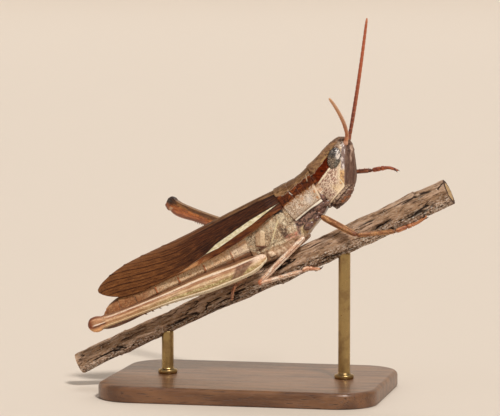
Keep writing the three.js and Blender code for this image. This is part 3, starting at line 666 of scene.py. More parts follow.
def head_finish():
    p = Paint("cuticle_head")
    ragged = p.ragged()
    x, z = p.x + ragged * 0.25, p.z + ragged * 0.3
    lane = p.x * -0.8 + p.z * 0.6 + ragged * 0.3
    jaw = p.x * 0.77 - p.z * 0.638 + ragged * 0.2
    upright = (1.6, 1.6, 0.3)
    cheek = p.layers(
        "a47e6e",
        (p.fleck(1.5, 0.45, 0.6) * 0.7, "b99a84"),
        (p.fleck(6, 0.48, 0.38) * 0.9, "7d5346"),
        (p.web(3.7, 0.19, 55, (0.5, 1, 1.2)) * 0.95, "f0dcc6"),
        (p.fleck(9, 0.44, 0.36) * 0.8, "5e3a30"),
        ((p.x + p.z * 0.8).step(0.8, 1.4) * p.z.step(-1.7, -2.5) * p.fleck(5, 0.36, 0.48) * 0.85, "ecd2a8"),
        (p.x.step(3.2, 3.5) * 0.6, "e8d2b4"),
    )
    face = p.layers(
        "6a4c3f",
        (p.x.near(4.32, 0.24) * 0.75, "48312a"),
        (p.x.step(4.7, 4.85) * 0.6, "50382f"),
        (p.x.step(4.15, 3.9) * 0.85, "8c7a78"),
        (p.fleck(5.0, 0.5, 0.6, upright) * 0.4, "8f7464"),
        (p.fleck(6.0, 0.47, 0.38, upright) * 0.5, "36241f"),
        (p.x.step(4.1, 3.92) * p.fleck(4.5, 0.5, 0.56, upright) * 0.9, "e9dcd8"),
        (p.x.near(4.6, 0.16) * p.z.within(0.3, 1.9, 0.2) * p.fleck(3, 0.4, 0.5, upright) * 0.85, "cdb09c"),
        (p.y.size().near(0.26, 0.08) * p.x.step(4.4, 4.7) * 0.5, "957c68"),
        (p.z.step(-1.7, -2.2) * p.fleck(3, 0.42, 0.56, (1, 1, 0.4)) * 0.5, "8f6a50"),
    )
    mouth = p.layers(
        "7a5c4e",
        ((jaw * 30.0 + ragged * 6.0).wave().step(0.0, 0.7) * 0.45, "ab917e"),
        (jaw.within(4.56, 4.86, 0.04), p.patchy("8a705e", "bda691", 5, 0.42, 0.58)),
        (p.fleck(6, 0.5, 0.6) * 0.5, "bca28b"),
        (p.z.within(-3.25, -2.6, 0.15) * jaw.step(4.98, 5.08) * p.fleck(3.5, 0.42, 0.54) * 0.8, "68382a"),
        (p.z.within(-3.85, -3.2, 0.15) * jaw.step(5.05, 5.2) * p.fleck(3.5, 0.42, 0.54) * 0.8, "b36c3e"),
        (jaw.near(4.93, 0.08), "3a241c"),
        (p.fleck(5, 0.48, 0.38) * 0.8, "3a241c"),
    )
    band = lane.within(-2.26, -1.4, 0.04) * p.x.step(2.85, 2.65)
    colour = p.layers(
        cheek,
        (lane.step(-1.44, -1.34) * p.x.step(3.5, 3.1), tan_back(p, "835f43")),
        (p.y.near(0.0, 0.26) * p.x.step(3.4, 3.0) * 0.85, "38241a"),
        (lane.near(-1.3, 0.22) * p.x.step(2.9, 2.6) * p.fleck(4, 0.46, 0.55, (0.6, 1, 0.6)) * 0.8, "c3a06c"),
        (band, dark_band(p, "5c1e07", "7e300c", "2a0c04")),
        (lane.near(-2.36, 0.13) * p.x.step(3.0, 2.8), "f4e6c8"),
        (x.within(3.6, 4.04) * z.within(-2.0, -0.6, 0.12) * 0.85,
         p.patchy("8a5a36", "dbb078", 8, 0.46, 0.54, (1, 1, 0.6))),
        ((x - 3.5 - (p.z + 1.1).step(0, -1.1) * 0.5).near(0.0, 0.1) * z.within(-2.2, -0.5, 0.1), "f4e3c2"),
        (x.step(4.0, 4.08) * p.z.step(-2.75, -2.3), face),
        (p.z.step(-0.6, -0.35) * x.step(3.62, 3.74) * p.z.step(2.3, 2.0), face),
        # painted highlight: pale patches in front of the eye's top, near the feeler's socket
        (p.z.step(1.6, 1.9) * x.step(3.45, 3.6) * x.step(3.85, 3.7),
         p.patchy("6b5140", "efe6e0", 5, 0.45, 0.5)),
        (p.z.step(2.1, 2.3), p.patchy("4a3426", "846650", 5, 0.44, 0.56)),
        (jaw.step(4.52, 4.6) * z.step(-1.9, -2.2), mouth),
        (jaw.near(4.48, 0.09) * p.z.step(-2.0, -2.3), "f2dfc0"),
        ((p.x - 1.2 + (p.z + 2.2) * 0.52).step(0.12, -0.02) * p.z.step(-2.1, -2.3), "e0c6b2"),
        ((p.z + ragged * 0.15).step(-3.84, -3.96), p.patchy("3a241c", "7c6050", 5, 0.44, 0.56)),
    )
    specular = 0.3 - band * 0.26
    return p.done(colour, p.noise(3) * 0.3 + 0.34, grain(p), depth=0.035, coat=0.06, specular=specular)


def thorax_finish(name="cuticle_thorax"):
    p = Paint(name)
    ragged = p.ragged()
    x, z = p.x + ragged * 0.4, p.z + ragged * 0.4
    colour = p.layers(
        mottled(p, "bd9f7e", "eee0c2", "553822", "b67c4e", 60, (0.6, 1, 1.3)),
        (z.step(-2.5, -2.1) * 0.6, "7a4a28"),
        ((x + 0.45).size().step(0.55, 0.1) * z.within(-4.9, -3.5, 0.25) * p.fleck(5, 0.38, 0.5) * 0.9,
         "46281d"),
        ((x + 0.16 - (z + 2.49) * 0.87).near(0.0, 0.15) * z.within(-4.6, -2.9, 0.3) * 0.9, "e8dab0"),
        ((x - 0.7 - (z + 4.6) * 0.18).near(0.0, 0.16) * z.within(-5.0, -3.9, 0.2) * 0.8, "dccaa4"),
        (z.step(-4.55, -4.8) * x.within(-0.6, 1.0, 0.2) * p.fleck(4, 0.4, 0.55) * 0.85, "c98a78"),
        # painted shadow: a dark red-brown patch just below the flap
        (x.within(-3.9, -2.7, 0.1) * z.near(-4.8, 0.25) * 0.8, "5c2a1e"),
        # painted shade under the pronotum's rim, laid over the dark of the fore coxa
        (x.step(0.6, 0.9) * (z - x * 0.17).step(-3.5, -3.62), p.patchy("3a2420", "8e6c5c", 5, 0.42, 0.58)),
        (x.step(0.9, 1.3) * (z - x * 0.17).step(-4.62, -4.74), p.patchy("cdb68c", "7a5a3c", 6, 0.45, 0.38)),
        (z.step(-5.0, -5.4) * 0.9, p.patchy("c29e80", "f0dabe", 4, 0.42, 0.58)),
        # painted shadow: the lowered underside next to the twig is dark brown
        (p.z.step(-5.85, -6.05) * 0.85, "5a3c28"),
        ((p.x + 0.2).size().step(0.6, 0.35) * z.within(-2.35, -1.5, 0.1), "1d1210"),
        (z.step(-2.2, -1.9) * 0.9, "4a2412"),
    )
    return p.done(colour, p.noise(3) * 0.3 + 0.38, grain(p), depth=0.04, coat=0.05)


def flap_finish():
    """s runs down the flap and v across it. Its two faces are painted as a lit and a shaded facet, with
    painted shade in the crease between them and a painted highlight at its upper end.
    """
    p = Paint("cuticle_flap")
    colour = p.layers(
        # painted light and shade: the upper face lit, the lower face shaded
        p.mix(p.v.step(-0.25, 0.25), "a98768", "d4b896"),
        (p.fleck(5, 0.46, 0.6) * 0.5, "dcc4a2"),
        (p.fleck(7, 0.46, 0.37) * 0.6, "86644a"),
        # painted shade along the crease between the two faces
        (p.v.near(0.0, 0.12) * 0.5, "8c6a50"),
        # painted highlight at the upper end of the upper face
        (p.s.step(0.2, 0.06) * p.v.step(-0.2, 0.4) * 0.8, "e6d2b2"),
        (p.s.step(0.88, 0.96) * 0.85, "6e3022"),
    )
    return p.done(colour, p.noise(3) * 0.3 + 0.4, grain(p), depth=0.03, coat=0.04)


def sternum_finish():
    p = Paint("cuticle_sternum")
    colour = p.layers(
        "684840",
        (p.fleck(3.2, 0.48, 0.6) * 0.6, "93756a"),
        (p.fleck(6, 0.48, 0.38) * 0.8, "34201e"),
        (p.fleck(2.5, 0.56, 0.62) * 0.35, "b0764a"),
        (p.z.step(-4.9, -5.3), "b0906c"),
    )
    return p.done(colour, p.noise(4) * 0.2 + 0.14, grain(p), depth=0.02, coat=0.45, specular=0.4)


def abdomen_finish():
    """s is the share of the way back across a ring."""
    p = Paint("cuticle_abdomen")
    late = p.x.step(-12, -18)
    early = p.x.step(-7.5, -5.5)
    streaks = p.fleck(3.0, 0.44, 0.56, (0.2, 1, 1))
    wobble = (p.noise(3.0, 3.0) - 0.5) * 0.2
    hook = (p.s - 0.955 + wobble * 0.1).size() * 10.0 - (p.z + wobble + 4.17).size() * 0.7 + 0.1
    hook = hook.size().step(0.3, 0.14) * p.z.within(-4.48, -3.88, 0.06) * p.x.step(-16.6, -16.0)
    colour = p.layers(
        p.mix(late, "f0c89e", "a66e46"),
        (early * 0.75, "d8c4b0"),
        (p.fleck(1.5, 0.46, 0.6, (0.6, 1, 1)) * 0.7, p.mix(late, "f2d8b2", "b4835a")),
        (p.fleck(4.0, 0.52, 0.6) * 0.6, p.mix(late, "fbe9cc", "c2946a")),
        (p.web(5.0, 0.16) * p.fleck(1.5, 0.42, 0.55) * 0.45, p.mix(late, "9a7048", "4e2e1e")),
        (p.fleck(8, 0.46, 0.38) * 0.6, "82583e"),
        (p.z.step(-3.95, -3.6) * (streaks * 0.45 + 0.2), p.mix(streaks, "b87646", "e4ac78")),
        (p.s.step(0.94, 0.975) * 0.35, "8a6044"),
        (hook * 0.85, "c0673e"),
        (p.s.step(0.07, 0.02) * 0.4, "f2e0c4"),
        (p.z.step(-4.5, -4.62) * 0.9, p.mix(streaks, "5c341d", "84502e")),
        (p.z.step(-5.2, -5.6), "d0aa80"),
        (p.z.step(-3.9, -3.3) * late * 0.7, "4a2c1e"),
    )
    return p.done(colour, p.noise(3) * 0.3 + 0.5, grain(p), depth=0.035, specular=0.25)


def forewing_finish():
    """s is the share of the way from the stripe to the back, v the veins and w the depth below the back."""
    p = Paint("wing_fore")
    line = p.z - stripe_height(p.x)
    half = stripe_half(p.x, Value.least, Value.most)
    ragged = p.ragged((0.5, 1, 1), detail=3.0, roughness=0.55)
    edge = half - (line + ragged * 0.06).size()
    stripe = edge.step(-0.02, 0.025)
    below = line.step(-0.12, -0.3)
    apex = p.x.step(-8, -17)
    front = p.x.step(-9, -5)
    fanned = p.vector(p.x, p.s * 3.0, 0.0)
    fine = p.noise(13.0, 3.0, (0.07, 1, 1), fanned, roughness=0.6)
    streak = p.noise(2.6, 4.0, (0.14, 1, 1), p.share, roughness=0.6)
    cell = p.noise(5.5, 3.0, (0.16, 1, 1), fanned, roughness=0.7)
    net = p.cells(3.4, "DISTANCE_TO_EDGE", (0.9, 1.6, 1), fanned)
    colour = p.layers(
        p.mix(apex, "482412", "693b1c"),
        (line.within(0.25, 1.1, 0.3) * p.x.step(-13, -8) * 0.9, "2c150e"),
        (streak.step(0.5, 0.6) * 0.5, p.mix(apex, "5f341a", "885326")),
        (streak.step(0.47, 0.38) * 0.6, p.mix(apex, "2c130b", "4c2814")),
        (cell.step(0.52, 0.62) * 0.3, p.mix(apex, "61371c", "8b562c")),
        (cell.step(0.47, 0.38) * 0.35, p.mix(apex, "2a130b", "3f210f")),
        (fine.step(0.52, 0.6) * 0.6, p.mix(apex, "704022", "9c6638")),
        (fine.step(0.48, 0.4) * 0.7, p.mix(apex, "260f09", "3e2010")),
        (p.v.step(0.2, 0.75) * (apex * 0.35 + 0.45), p.mix(apex, "2a120b", "3e200f")),
        (p.v.step(0.12, 0.0) * apex * 0.35, "8f5f36"),
        (net.step(0.07, 0.0) * apex * 0.5, "452410"),
        (p.w.step(0.75, 0.3) * p.x.within(-17.5, -8, 1.5) * 0.5, "7c5030"),
        (below, p.patchy("4a2110", "73401f", 4.0, 0.42, 0.6, (0.15, 1, 1))),
        (line.step(0.05, -0.12) * p.x.step(-8.0, -9.5) * 0.85,
         p.patchy("8f5530", "d09a6a", 5.0, 0.44, 0.56, (0.12, 1, 1))),
        (below * line.step(-0.75, -1.0) * p.fleck(4, 0.42, 0.52, (0.4, 1, 1)) * 0.8, "b07a4a"),
        (p.w.step(0.46, 0.36) * front, p.patchy("573721", "86613e", 5, 0.42, 0.6, (0.15, 1, 1))),
        (p.w.near(0.49, 0.12) * p.x.step(-11, -7.5) * 0.85, "27130c"),
        (p.w.near(0.16, 0.1) * front * 0.6, "4a3222"),
        (edge.near(-0.03, 0.12) * line.step(0.0, 0.08) * p.x.step(-11.5, -8.5) * 0.7, "20100b"),
        (stripe, p.patchy("cdc29c", "efe7cc", 4.5, 0.38, 0.62, (0.5, 1, 1))),
        (p.x.step(-19.2, -20.6) * p.fleck(4, 0.4, 0.6) * 0.6, "8a5a34"),
    )
    mesh = p.cells(3.4, "DISTANCE_TO_EDGE", stretch=(0.5, 1.3, 1.3))
    height = mesh.step(0.1, 0.0) * 0.8 + p.noise(12, 2.0) * 0.4 + cell * 0.6
    return p.done(colour, p.noise(2.5) * 0.25 + 0.5, height, depth=0.025, specular=0.2)


def hindwing_finish():
    p = Paint("wing_hind")
    folds = (p.v * HINDWING_FOLDS).wave()
    coats = (folds.step(0.2, 0.9) * 0.7, "5d4029"), (p.fleck(2.5, 0.45, 0.6) * 0.5, "b39470")
    return p.done(p.layers("8d6b4c", *coats), p.noise(4) * 0.2 + 0.4, folds, depth=0.03)


def eye_finish():
    p = Paint("eye_compound")
    lower = p.z.step(0.5, -0.1)
    colour = p.layers(
        "565458",
        (lower, "97826e"),
        (p.x.step(0.1, 0.4) * p.z.within(-0.9, 0.1, 0.15) * 0.55, "58706f"),
        (p.fleck(5.0, 0.5, 0.6) * 0.6, p.mix(lower, "5a6068", "ab9880")),
        (p.web(5.5, 0.27) * 0.9, "241b16"),
        (p.fleck(7.0, 0.46, 0.38) * 0.9, "14110f"),
        # painted highlight: pale flecks on the front of the eye's upper half
        (p.x.step(0.05, 0.3) * p.z.within(0.1, 1.0, 0.1) * p.fleck(4.0, 0.43, 0.5, (1.6, 1, 0.4)), "e2d8d2"),
        # painted reflection: pale flecks over the top of the eye
        (p.z.step(0.45, 0.7) * p.fleck(5.0, 0.47, 0.56) * 0.8, "b0a6a2"),
    )
    return p.done(colour, p.noise(3) * 0.1 + 0.1, p.cells(26.0), depth=0.012, coat=0.6, specular=0.6)


def feeler_finish(name, inner, outer, tip, joints):
    p = Paint(name)
    ring = (p.s * float(joints)).math("FRACT")
    colour = p.layers(
        p.mix(p.s.step(0.15, 0.7), inner, outer),
        (p.fleck(5, 0.46, 0.6) * 0.5, outer),
        (p.fleck(7, 0.46, 0.38) * 0.5, inner),
        (p.v.step(0.2, 0.8) * 0.3, tip),
        (ring.step(0.86, 0.97) * 0.3, tip),
        (ring.step(0.1, 0.02) * 0.5, inner),
        (p.s.step(0.93, 1.0) * 0.6, tip),
        (p.s.step(0.06, 0.03) * 0.6, "c9a089"),
    )
    return p.done(colour, p.noise(6) * 0.25 + 0.32, grain(p), depth=0.02, coat=0.1)


def small_leg_finish(name, base, pale, dark, knee, toe="7c3522", toe_pale="c06a3e", coat=0.08):
    """Femur where w is about 0, shin where w is about 10 and foot where it is about 20."""
    p = Paint(name)
    long = p.noise(3.5, 3.0, (0.35, 1.6, 1.6))
    shin, foot, thigh = p.w.within(5, 15, 1), p.w.step(14, 16), p.w.step(6, 4)
    colour = p.layers(
        base,
        (long.step(0.46, 0.58) * 0.9, pale),
        (p.v.size().near(0.72, 0.2) * 0.75, dark),
        (p.v.near(0.35, 0.2) * 0.6, pale),
        (p.v.near(-0.1, 0.14) * p.fleck(4, 0.42, 0.55, (0.4, 1, 1)) * 0.7, dark),
        (p.fleck(8, 0.46, 0.37) * 0.8, dark),
        (thigh * p.s.step(0.86, 0.96) * 0.9, knee),
        (shin * p.s.step(0.1, 0.02) * 0.9, knee),
        (shin * p.s.step(0.9, 0.98) * 0.6, dark),
        (foot * 0.8, p.mix(long.step(0.4, 0.62), toe, toe_pale)),
        (foot * p.w.step(22, 23), "2c1712"),
    )
    return p.done(colour, p.noise(5) * 0.25 + 0.34, grain(p), depth=0.025, coat=coat)


def hind_femur_finish(name, inner):
    """v is the height on the section and w the outer side; inner repaints the face towards the body."""
    p = Paint(name)
    long = p.noise(3.2, 4.0, (0.2, 1.4, 1.4), roughness=0.65)
    ragged = p.ragged((0.6, 1, 1), 2.2)
    v = p.v + ragged * 0.3
    blade = p.s.within(0.06, 0.9, 0.04)
    chevron = (p.x * 4.6 + p.v.size() * 3.4).wave().step(0.2, 0.95) * p.v.size().step(0.5, 0.35)
    outer = p.w.step(-0.2, 0.2)
    lean = (p.s + ragged * 0.02 - 0.1385 + p.v * 0.055).size() - p.v * 0.018
    wedge = lean.step(0.054, 0.034) * v.within(-0.64, 0.6, 0.05)
    rear = p.s.step(0.5, 0.75)
    colour = p.layers(
        p.mix(rear, "d8b58a", "d0a27a"),
        (long.step(0.5, 0.62) * 0.8, p.mix(rear, "efd8b4", "eacaa6")),
        (long.step(0.46, 0.38) * 0.6, "a5785a"),
        (v.within(-0.6, -0.24, 0.06) * blade * (1.0 - rear * 0.6),
         p.patchy("a08c58", "dccb98", 5, 0.42, 0.58)),
        (v.within(-0.5, -0.2, 0.06) * rear * 0.7, "a0653c"),
        (chevron * outer * p.s.step(0.8, 0.6) * 0.35, "9a6c48"),
        (p.v.near(0.02, 0.12) * blade * 0.6, p.mix(rear, "ecd2b2", "e3c09a")),
        (p.v.near(-0.15, 0.07) * blade * 0.5, "96714f"),
        (v.within(0.2, 0.54, 0.06) * blade * 0.75,
         p.mix(long.step(0.45, 0.6), p.mix(rear, "a97658", "8c5230"), "cfa28a")),
        (p.v.near(0.64, 0.11) * blade, "f6e3d3"),
        (p.v.near(0.5, 0.06) * blade * 0.6, "7d4c38"),
        (p.v.near(-0.6, 0.07) * blade * 0.7, "80592f"),
        (wedge * outer * 0.85, p.patchy("684438", "946c58", 4, 0.4, 0.6)),
        (p.s.step(0.085, 0.05) * p.v.step(-0.3, 0.3) * 0.8, "f2d8c4"),
        (p.v.step(-0.64, -0.72), p.mix(rear, "fff4d8", "ecd0a6")),
        (p.v.step(0.73, 0.81) * p.s.step(0.02, 0.06), p.mix(long.step(0.4, 0.6), "6a4430", "946848")),
        (p.fleck(8, 0.45, 0.36) * 0.5, "85603f"),
        (p.s.step(0.885, 0.93) * 0.6, "b07650"),
        (p.s.step(0.9, 0.95) * p.v.size().step(0.6, 0.85) * 0.7, "6b3520"),
        # painted highlight: a pale streak along the knee's upper lobe
        ((v + 0.1).near(0.0, 0.12) * p.s.within(0.905, 0.972, 0.008), "f2e6da"),
        ((v + 0.32).near(0.0, 0.15) * p.s.within(0.9, 0.975, 0.01), "4a281c"),
        ((v - 0.16).near(0.0, 0.12) * p.s.within(0.9, 0.975, 0.01) * 0.7, "6a3a26"),
        (p.s.step(0.925, 0.94) * p.v.step(-0.5, -0.66) * 0.9, "d9a06c"),
        (p.s.step(0.955, 0.985) * v.step(-0.5, -0.3), "7c3f22"),
        (p.s.step(0.955, 0.985) * p.v.step(0.7, 0.9) * 0.8, "43231a"),
    )
    if inner:
        face = p.w.step(0.15, -0.15)
        colour = p.layers(
            colour,
            (face, p.mix(long.step(0.4, 0.62), "944e22", "cc7a3e")),
            (face * v.step(-0.1, 0.3), p.mix(long.step(0.42, 0.6), "5c3618", "8e5e2c")),
            (face * p.v.near(0.9, 0.2) * 0.7, "96703f"),
            (p.v.step(-0.55, -0.75) * blade, "b4642f"),
            (p.fleck(6, 0.46, 0.37) * 0.7, "4a2616"),
            (p.s.step(0.88, 0.95) * v.step(-0.5, 0.0), "2e160a"),
            (p.s.step(0.93, 0.96) * v.step(0.1, -0.4) * 0.9, "80482a"),
        )
    height = grain(p) * 0.6 + chevron * 0.5
    return p.done(colour, p.noise(4) * 0.25 + 0.38, height, depth=0.03, coat=0.04, specular=0.4)


def hind_shin_finish(name, base, rear, pale):
    p = Paint(name)
    long = p.noise(2.6, 4.0, (0.3, 1.5, 1.5))
    foot, spine = p.w.step(14, 16), p.w.step(-3, -5)
    colour = p.layers(
        p.mix(p.s.step(0.45, 0.7), base, rear),
        (long.step(0.46, 0.6) * 0.7, pale),
        (p.fleck(7, 0.45, 0.36) * 0.6, "4a2e20"),
        (p.s.step(0.06, 0.02), "7c3f22"),
        (p.s.within(0.06, 0.09, 0.01) * 0.6, "c4a684"),
        (spine * 0.9, p.mix(p.v.step(0.1, 0.6), "7c5a40", "22120e")),
        (foot, p.mix(long.step(0.4, 0.62), "8f5238", "cf8f66")),
        (foot * p.fleck(6, 0.54, 0.6) * 0.6, "e8c3a4"),
        (foot * p.w.step(22, 23), "2c1712"),
    )
    return p.done(colour, p.noise(5) * 0.25 + 0.32, grain(p), depth=0.02, coat=0.1)


def bark_finish():
    """s is how deep the bark's cracks are."""
    p = Paint("bark_twig")
    long = p.noise(1.6, 5.0, (0.13, 1, 1), roughness=0.7)
    fine = p.noise(5.0, 4.0, (0.2, 1, 1), roughness=0.7)
    grit = p.noise(6.0, 3.0, (0.7, 1, 1), roughness=0.7)
    under = p.z.step(0.1, -0.9)
    colour = p.layers(
        "a28266",
        (long.step(0.46, 0.6) * 0.85, "caaa92"),
        (p.fleck(1.8, 0.5, 0.6, (0.4, 1, 1)) * 0.6, "6e5440"),
        (fine.step(0.52, 0.62) * 0.7, "c2ab98"),
        (fine.step(0.46, 0.36) * 0.8, "3c281e"),
        (long.step(0.4, 0.32) * 0.85, "2e1b14"),
        (grit.step(0.6, 0.66) * p.fleck(0.7, 0.46, 0.56) * 0.8, "d6ccc0"),
        (under * grit.step(0.52, 0.58) * 0.9, "dcd4ca"),
        (under * grit.step(0.47, 0.41) * 0.9, "1c1310"),
        # partly painted shade: the deepest cracks are darkened by their depth, over the bark's own dark
        # fissures
        (p.s.step(-0.05, -0.12) * 0.95, "1c110d"),
    )
    return p.done(colour, fine * 0.2 + 0.7, long * 0.6 + fine * 0.9 + grit * 0.5, depth=0.12, specular=0.2)


def cut_finish():
    p = Paint("bark_cut_end")
    radius = p.math("SQRT", p.y * p.y + p.z * p.z) + p.noise(1.5) * 0.2
    rings = (radius * 26.0).wave()
    rays = p.noise(9, 2.0, (0.1, 1, 1))
    colour = p.layers(
        "b99a72",
        (rings.step(0.0, 0.9) * 0.6, "94734c"),
        (rays.step(0.5, 0.62) * 0.5, "d3b88f"),
        (radius.step(0.25, 0.12), "5a3f2a"),
        (radius.step(0.95, 1.1), "4c362a"),
    )
    return p.done(colour, p.noise(5) * 0.2 + 0.65, rings * 0.4 + rays, depth=0.03, specular=0.25)


def walnut_finish():
    p = Paint("stand_walnut")
    bend = p.noise(0.16, 3.0, (0.35, 1, 1)) * 5.0
    growth = ((p.y + bend) * 3.2).wave()
    pore = p.noise(9.0, 2.0, (0.07, 1, 1))
    colour = p.layers(
        "6f4a30",
        (growth.step(-0.4, 0.9) * 0.75, "54341f"),
        (p.fleck(0.5, 0.42, 0.62, (0.3, 1, 1)) * 0.5, "8a6242"),
        (pore.step(0.42, 0.32) * 0.8, "2e1c12"),
    )
    return p.done(colour, pore.step(0.3, 0.5) * 0.12 + 0.3, pore.step(0.34, 0.46), depth=0.02, coat=0.25)


def brass_finish():
    p = Paint("stand_brushed_brass")
    brush = p.noise(7.0, 4.0, (1, 1, 14))
    tarnish = p.noise(0.9, 4.0)
    coats = (tarnish.step(0.5, 0.66) * 0.6, "85694a"), (brush.step(0.5, 0.62) * 0.3, "c9b083")
    return p.done(p.layers("ab9161", *coats), tarnish * 0.2 + 0.2, brush, depth=0.006, metal=1.0)


# ---------------------------------------------------------------- pronotum, prosternum and head
NECK_FOLDS = [
    [(3.4, 1.06, -3.15), (3.56, 1.04, -3.65), (3.45, 0.9, -4.15)],
    [(2.1, 1.06, -4.2), (2.75, 1.04, -4.28), (3.4, 0.92, -4.25)],
    [(3.0, 0.98, -4.3), (3.55, 0.88, -4.42), (3.95, 0.66, -4.45)],
]
FOLD_ROWS = [[0, 0.2, 0.18], [0.5, 0.28, 0.22], [1, 0.2, 0.16]]
# (place, how far down the side it runs, how deep it is)
PRONOTUM_GROOVES = (1.45, 2.4, 0.045), (2.35, 1.9, 0.04), (3.15, 1.7, 0.03)


def build_pronotum():
    lip = 0.08
    xs = np.concatenate([[0.5, 0.06, 0], even(0.02, PRONOTUM_LENGTH - 0.02, 150),
                         PRONOTUM_LENGTH - np.array([0, 0.04, 0.1])])
    inset = np.zeros(len(xs))
    inset[:4] = [lip, lip, 0.07, 0.02]
    inset[-4:] = [0.02, 0.06, lip, lip + 0.05]
    angles = turn_angles(240)
    flat = plate(PRONOTUM_ROWS, xs, angles, PRONOTUM_POWER, pronotum_lean, inset[:, None])
    x, y, z = np.broadcast_to(xs[:, None], flat.shape[:2]), flat[..., 1], flat[..., 2]
    top, bottom, _ = along(PRONOTUM_ROWS, xs)[..., None]
    depth = top - z
    wide_rim = ramp(x, 2.2, 3.6)
    relief = 0.06 * hump(y, 0, 0.09) * ramp(depth, 1.2, 0.5)
    relief += 0.07 * hump(depth + 0.03 * np.abs(y), 0.5, 0.11)
    for groove, low, deep in PRONOTUM_GROOVES:
        relief -= deep * hump(x + 0.05 * np.sin(3 * z), groove, 0.055) * ramp(depth, low + 0.5, low)
    relief += (0.055 + 0.09 * wide_rim) * hump(z, bottom + 0.16, 0.09 + 0.06 * wide_rim)
    relief -= 0.03 * hump(z, bottom + 0.38, 0.1)
    relief += 0.012 * (hump(x, 0.1, 0.1) + hump(x, PRONOTUM_LENGTH - 0.12, 0.1))
    relief += 0.03 * hump(z, -2.0, 0.5) * hump(x, 0.9, 0.7)
    relief += 0.022 * rough(flat, 2.2, 3) + 0.012 * rough(flat, 7, 1)
    body = Piece(fore)
    body.add(lift(flat, relief), stacked(x, y, z))
    neck = plate(NECK_ROWS, even(3.6, 5.0, 30), angles, power=2.9)
    pleats = -0.05 * np.abs(np.sin(neck[..., 0] * 9 + 0.6 * neck[..., 2]))
    body.add(lift(neck, pleats), neck * [0, 1, 0.9] + [3.7, 0, 0])
    for side in SIDES.values():
        for path in NECK_FOLDS:
            fold = Limb(mirrored(path, side), FOLD_ROWS, up=(0.9, 0, 0.5), rings=50, sides=40)
            body.add_limb(fold, finish=1)
    body.make("pronotum_shield", "pronotum", "cuticle", pronotum_finish(), sternum_finish())

    flat = plate(PROSTERNUM_ROWS, rounded_steps(GAP, 3.3, 70), turn_angles(120), power=2.8)
    x, y = flat[..., 0], flat[..., 1]
    relief = 0.05 * rough(flat, 1.3, 3) + 0.05 * hump(y, 0, 0.3) - 0.05 * hump(x, 2.2, 0.12)
    body = Piece(fore)
    body.add(lift(flat, relief))
    body.make("prosternum_plate", "prosternum", "cuticle", sternum_finish())


EYE_MIDDLE, EYE_HALF = (2.96, 0.93, 0.5), (0.69, 0.5, 1.14)
EYE_COS, EYE_SIN = math.cos(math.radians(13)), math.sin(math.radians(13))


def eye_distance(x, z):
    """How far out each point is from the eye's axis in side view: 1 is the eye's rim."""
    dx, dz = x - EYE_MIDDLE[0], z - EYE_MIDDLE[2]
    across, upward = dx * EYE_COS - dz * EYE_SIN, dx * EYE_SIN + dz * EYE_COS
    return np.sqrt((across / EYE_HALF[0]) ** 2 + (upward / EYE_HALF[2]) ** 2)


def head_relief(flat, heights):
    """The ridges and grooves of the face, the mouth parts, the rims of the eyes and the crown."""
    x, y, z = flat[..., 0], flat[..., 1], flat[..., 2]
    side = np.abs(y)
    front = along(HEAD_ROWS, heights)[1][:, None]
    ahead = ramp(x, front - 1.3, front - 0.3)
    relief = 0.025 * rough(flat, 2.0, 3) + 0.012 * rough(flat, 8, 1)
    above_mouth = ramp(z, -2.3, -1.6)
    keels = 0.07 * hump(side, 0.24, 0.08) - 0.05 * hump(y, 0, 0.13)
    relief += keels * ahead * above_mouth * ramp(z, 2.3, 1.7)
    lateral = 0.5 + 0.34 * ramp(z, 1.4, -2.2)
    relief += 0.07 * hump(side, lateral, 0.07) * ahead * ramp(z, -2.6, -2.0) * ramp(z, 1.7, 1.2)
    relief -= 0.04 * hump(side, 0.5 * (lateral + 0.24), 0.12) * ahead * above_mouth * ramp(z, 1.5, 1.0)
    relief -= 0.08 * hump(z + 0.12 * y * y, -2.42, 0.06) * ahead * ramp(side, 0.95, 0.7)
    relief -= 0.07 * hump(z + 0.1 * y * y, -3.12, 0.05) * ahead * ramp(side, 0.75, 0.6)
    relief -= 0.06 * hump(side, 0.8 - 0.12 * (z + 3.0), 0.06) * ahead * ramp(z, -2.3, -2.6)
    jaw = 0.77 * x - 0.638 * z
    plates = 0.05 * hump(jaw, 4.48, 0.09) - 0.06 * hump(jaw, 4.6, 0.05) + 0.05 * hump(jaw, 4.76, 0.09)
    plates += 0.05 * hump(jaw, 5.1, 0.1) - 0.09 * hump(jaw, 4.94, 0.05)
    relief += ramp(z, -2.0, -2.4) * plates * ramp(side, 0.35, 0.7)
    crease = x - (3.47 - 0.12 * (z + 0.3)) - 0.5 * ramp(z, -1.1, -2.2)
    fold = 0.05 * hump(crease, 0, 0.07) * ramp(side, 0.6, 0.9) - 0.035 * hump(crease, 0.16, 0.06)
    relief += fold * ramp(z, -0.2, -0.5) * ramp(z, -2.4, -2.0)
    rim = eye_distance(x, z)
    relief += ramp(side, 0.25, 0.55) * (0.07 * hump(rim, 1.12, 0.07) - 0.25 * ramp(rim, 1.04, 0.8))
    relief += 0.05 * hump(y, 0, 0.07) * ramp(z, 0.2, 0.9) * ramp(x, front - 0.9, front - 1.5)
    relief -= 0.06 * hump(side, 0.4, 0.12) * hump(z, 2.15, 0.2) * ramp(x, front - 0.9, front - 1.2)
    socket = np.sqrt(((z - 1.72) / 0.34) ** 2 + ((side - 0.4) / 0.27) ** 2)
    relief += ahead * (0.06 * hump(socket, 1.25, 0.2) - 0.14 * ramp(socket, 1.0, 0.5))
    return relief * ramp(z, HEAD_LOW, HEAD_LOW + 0.12) * ramp(z, HEAD_HIGH, HEAD_HIGH - 0.12)


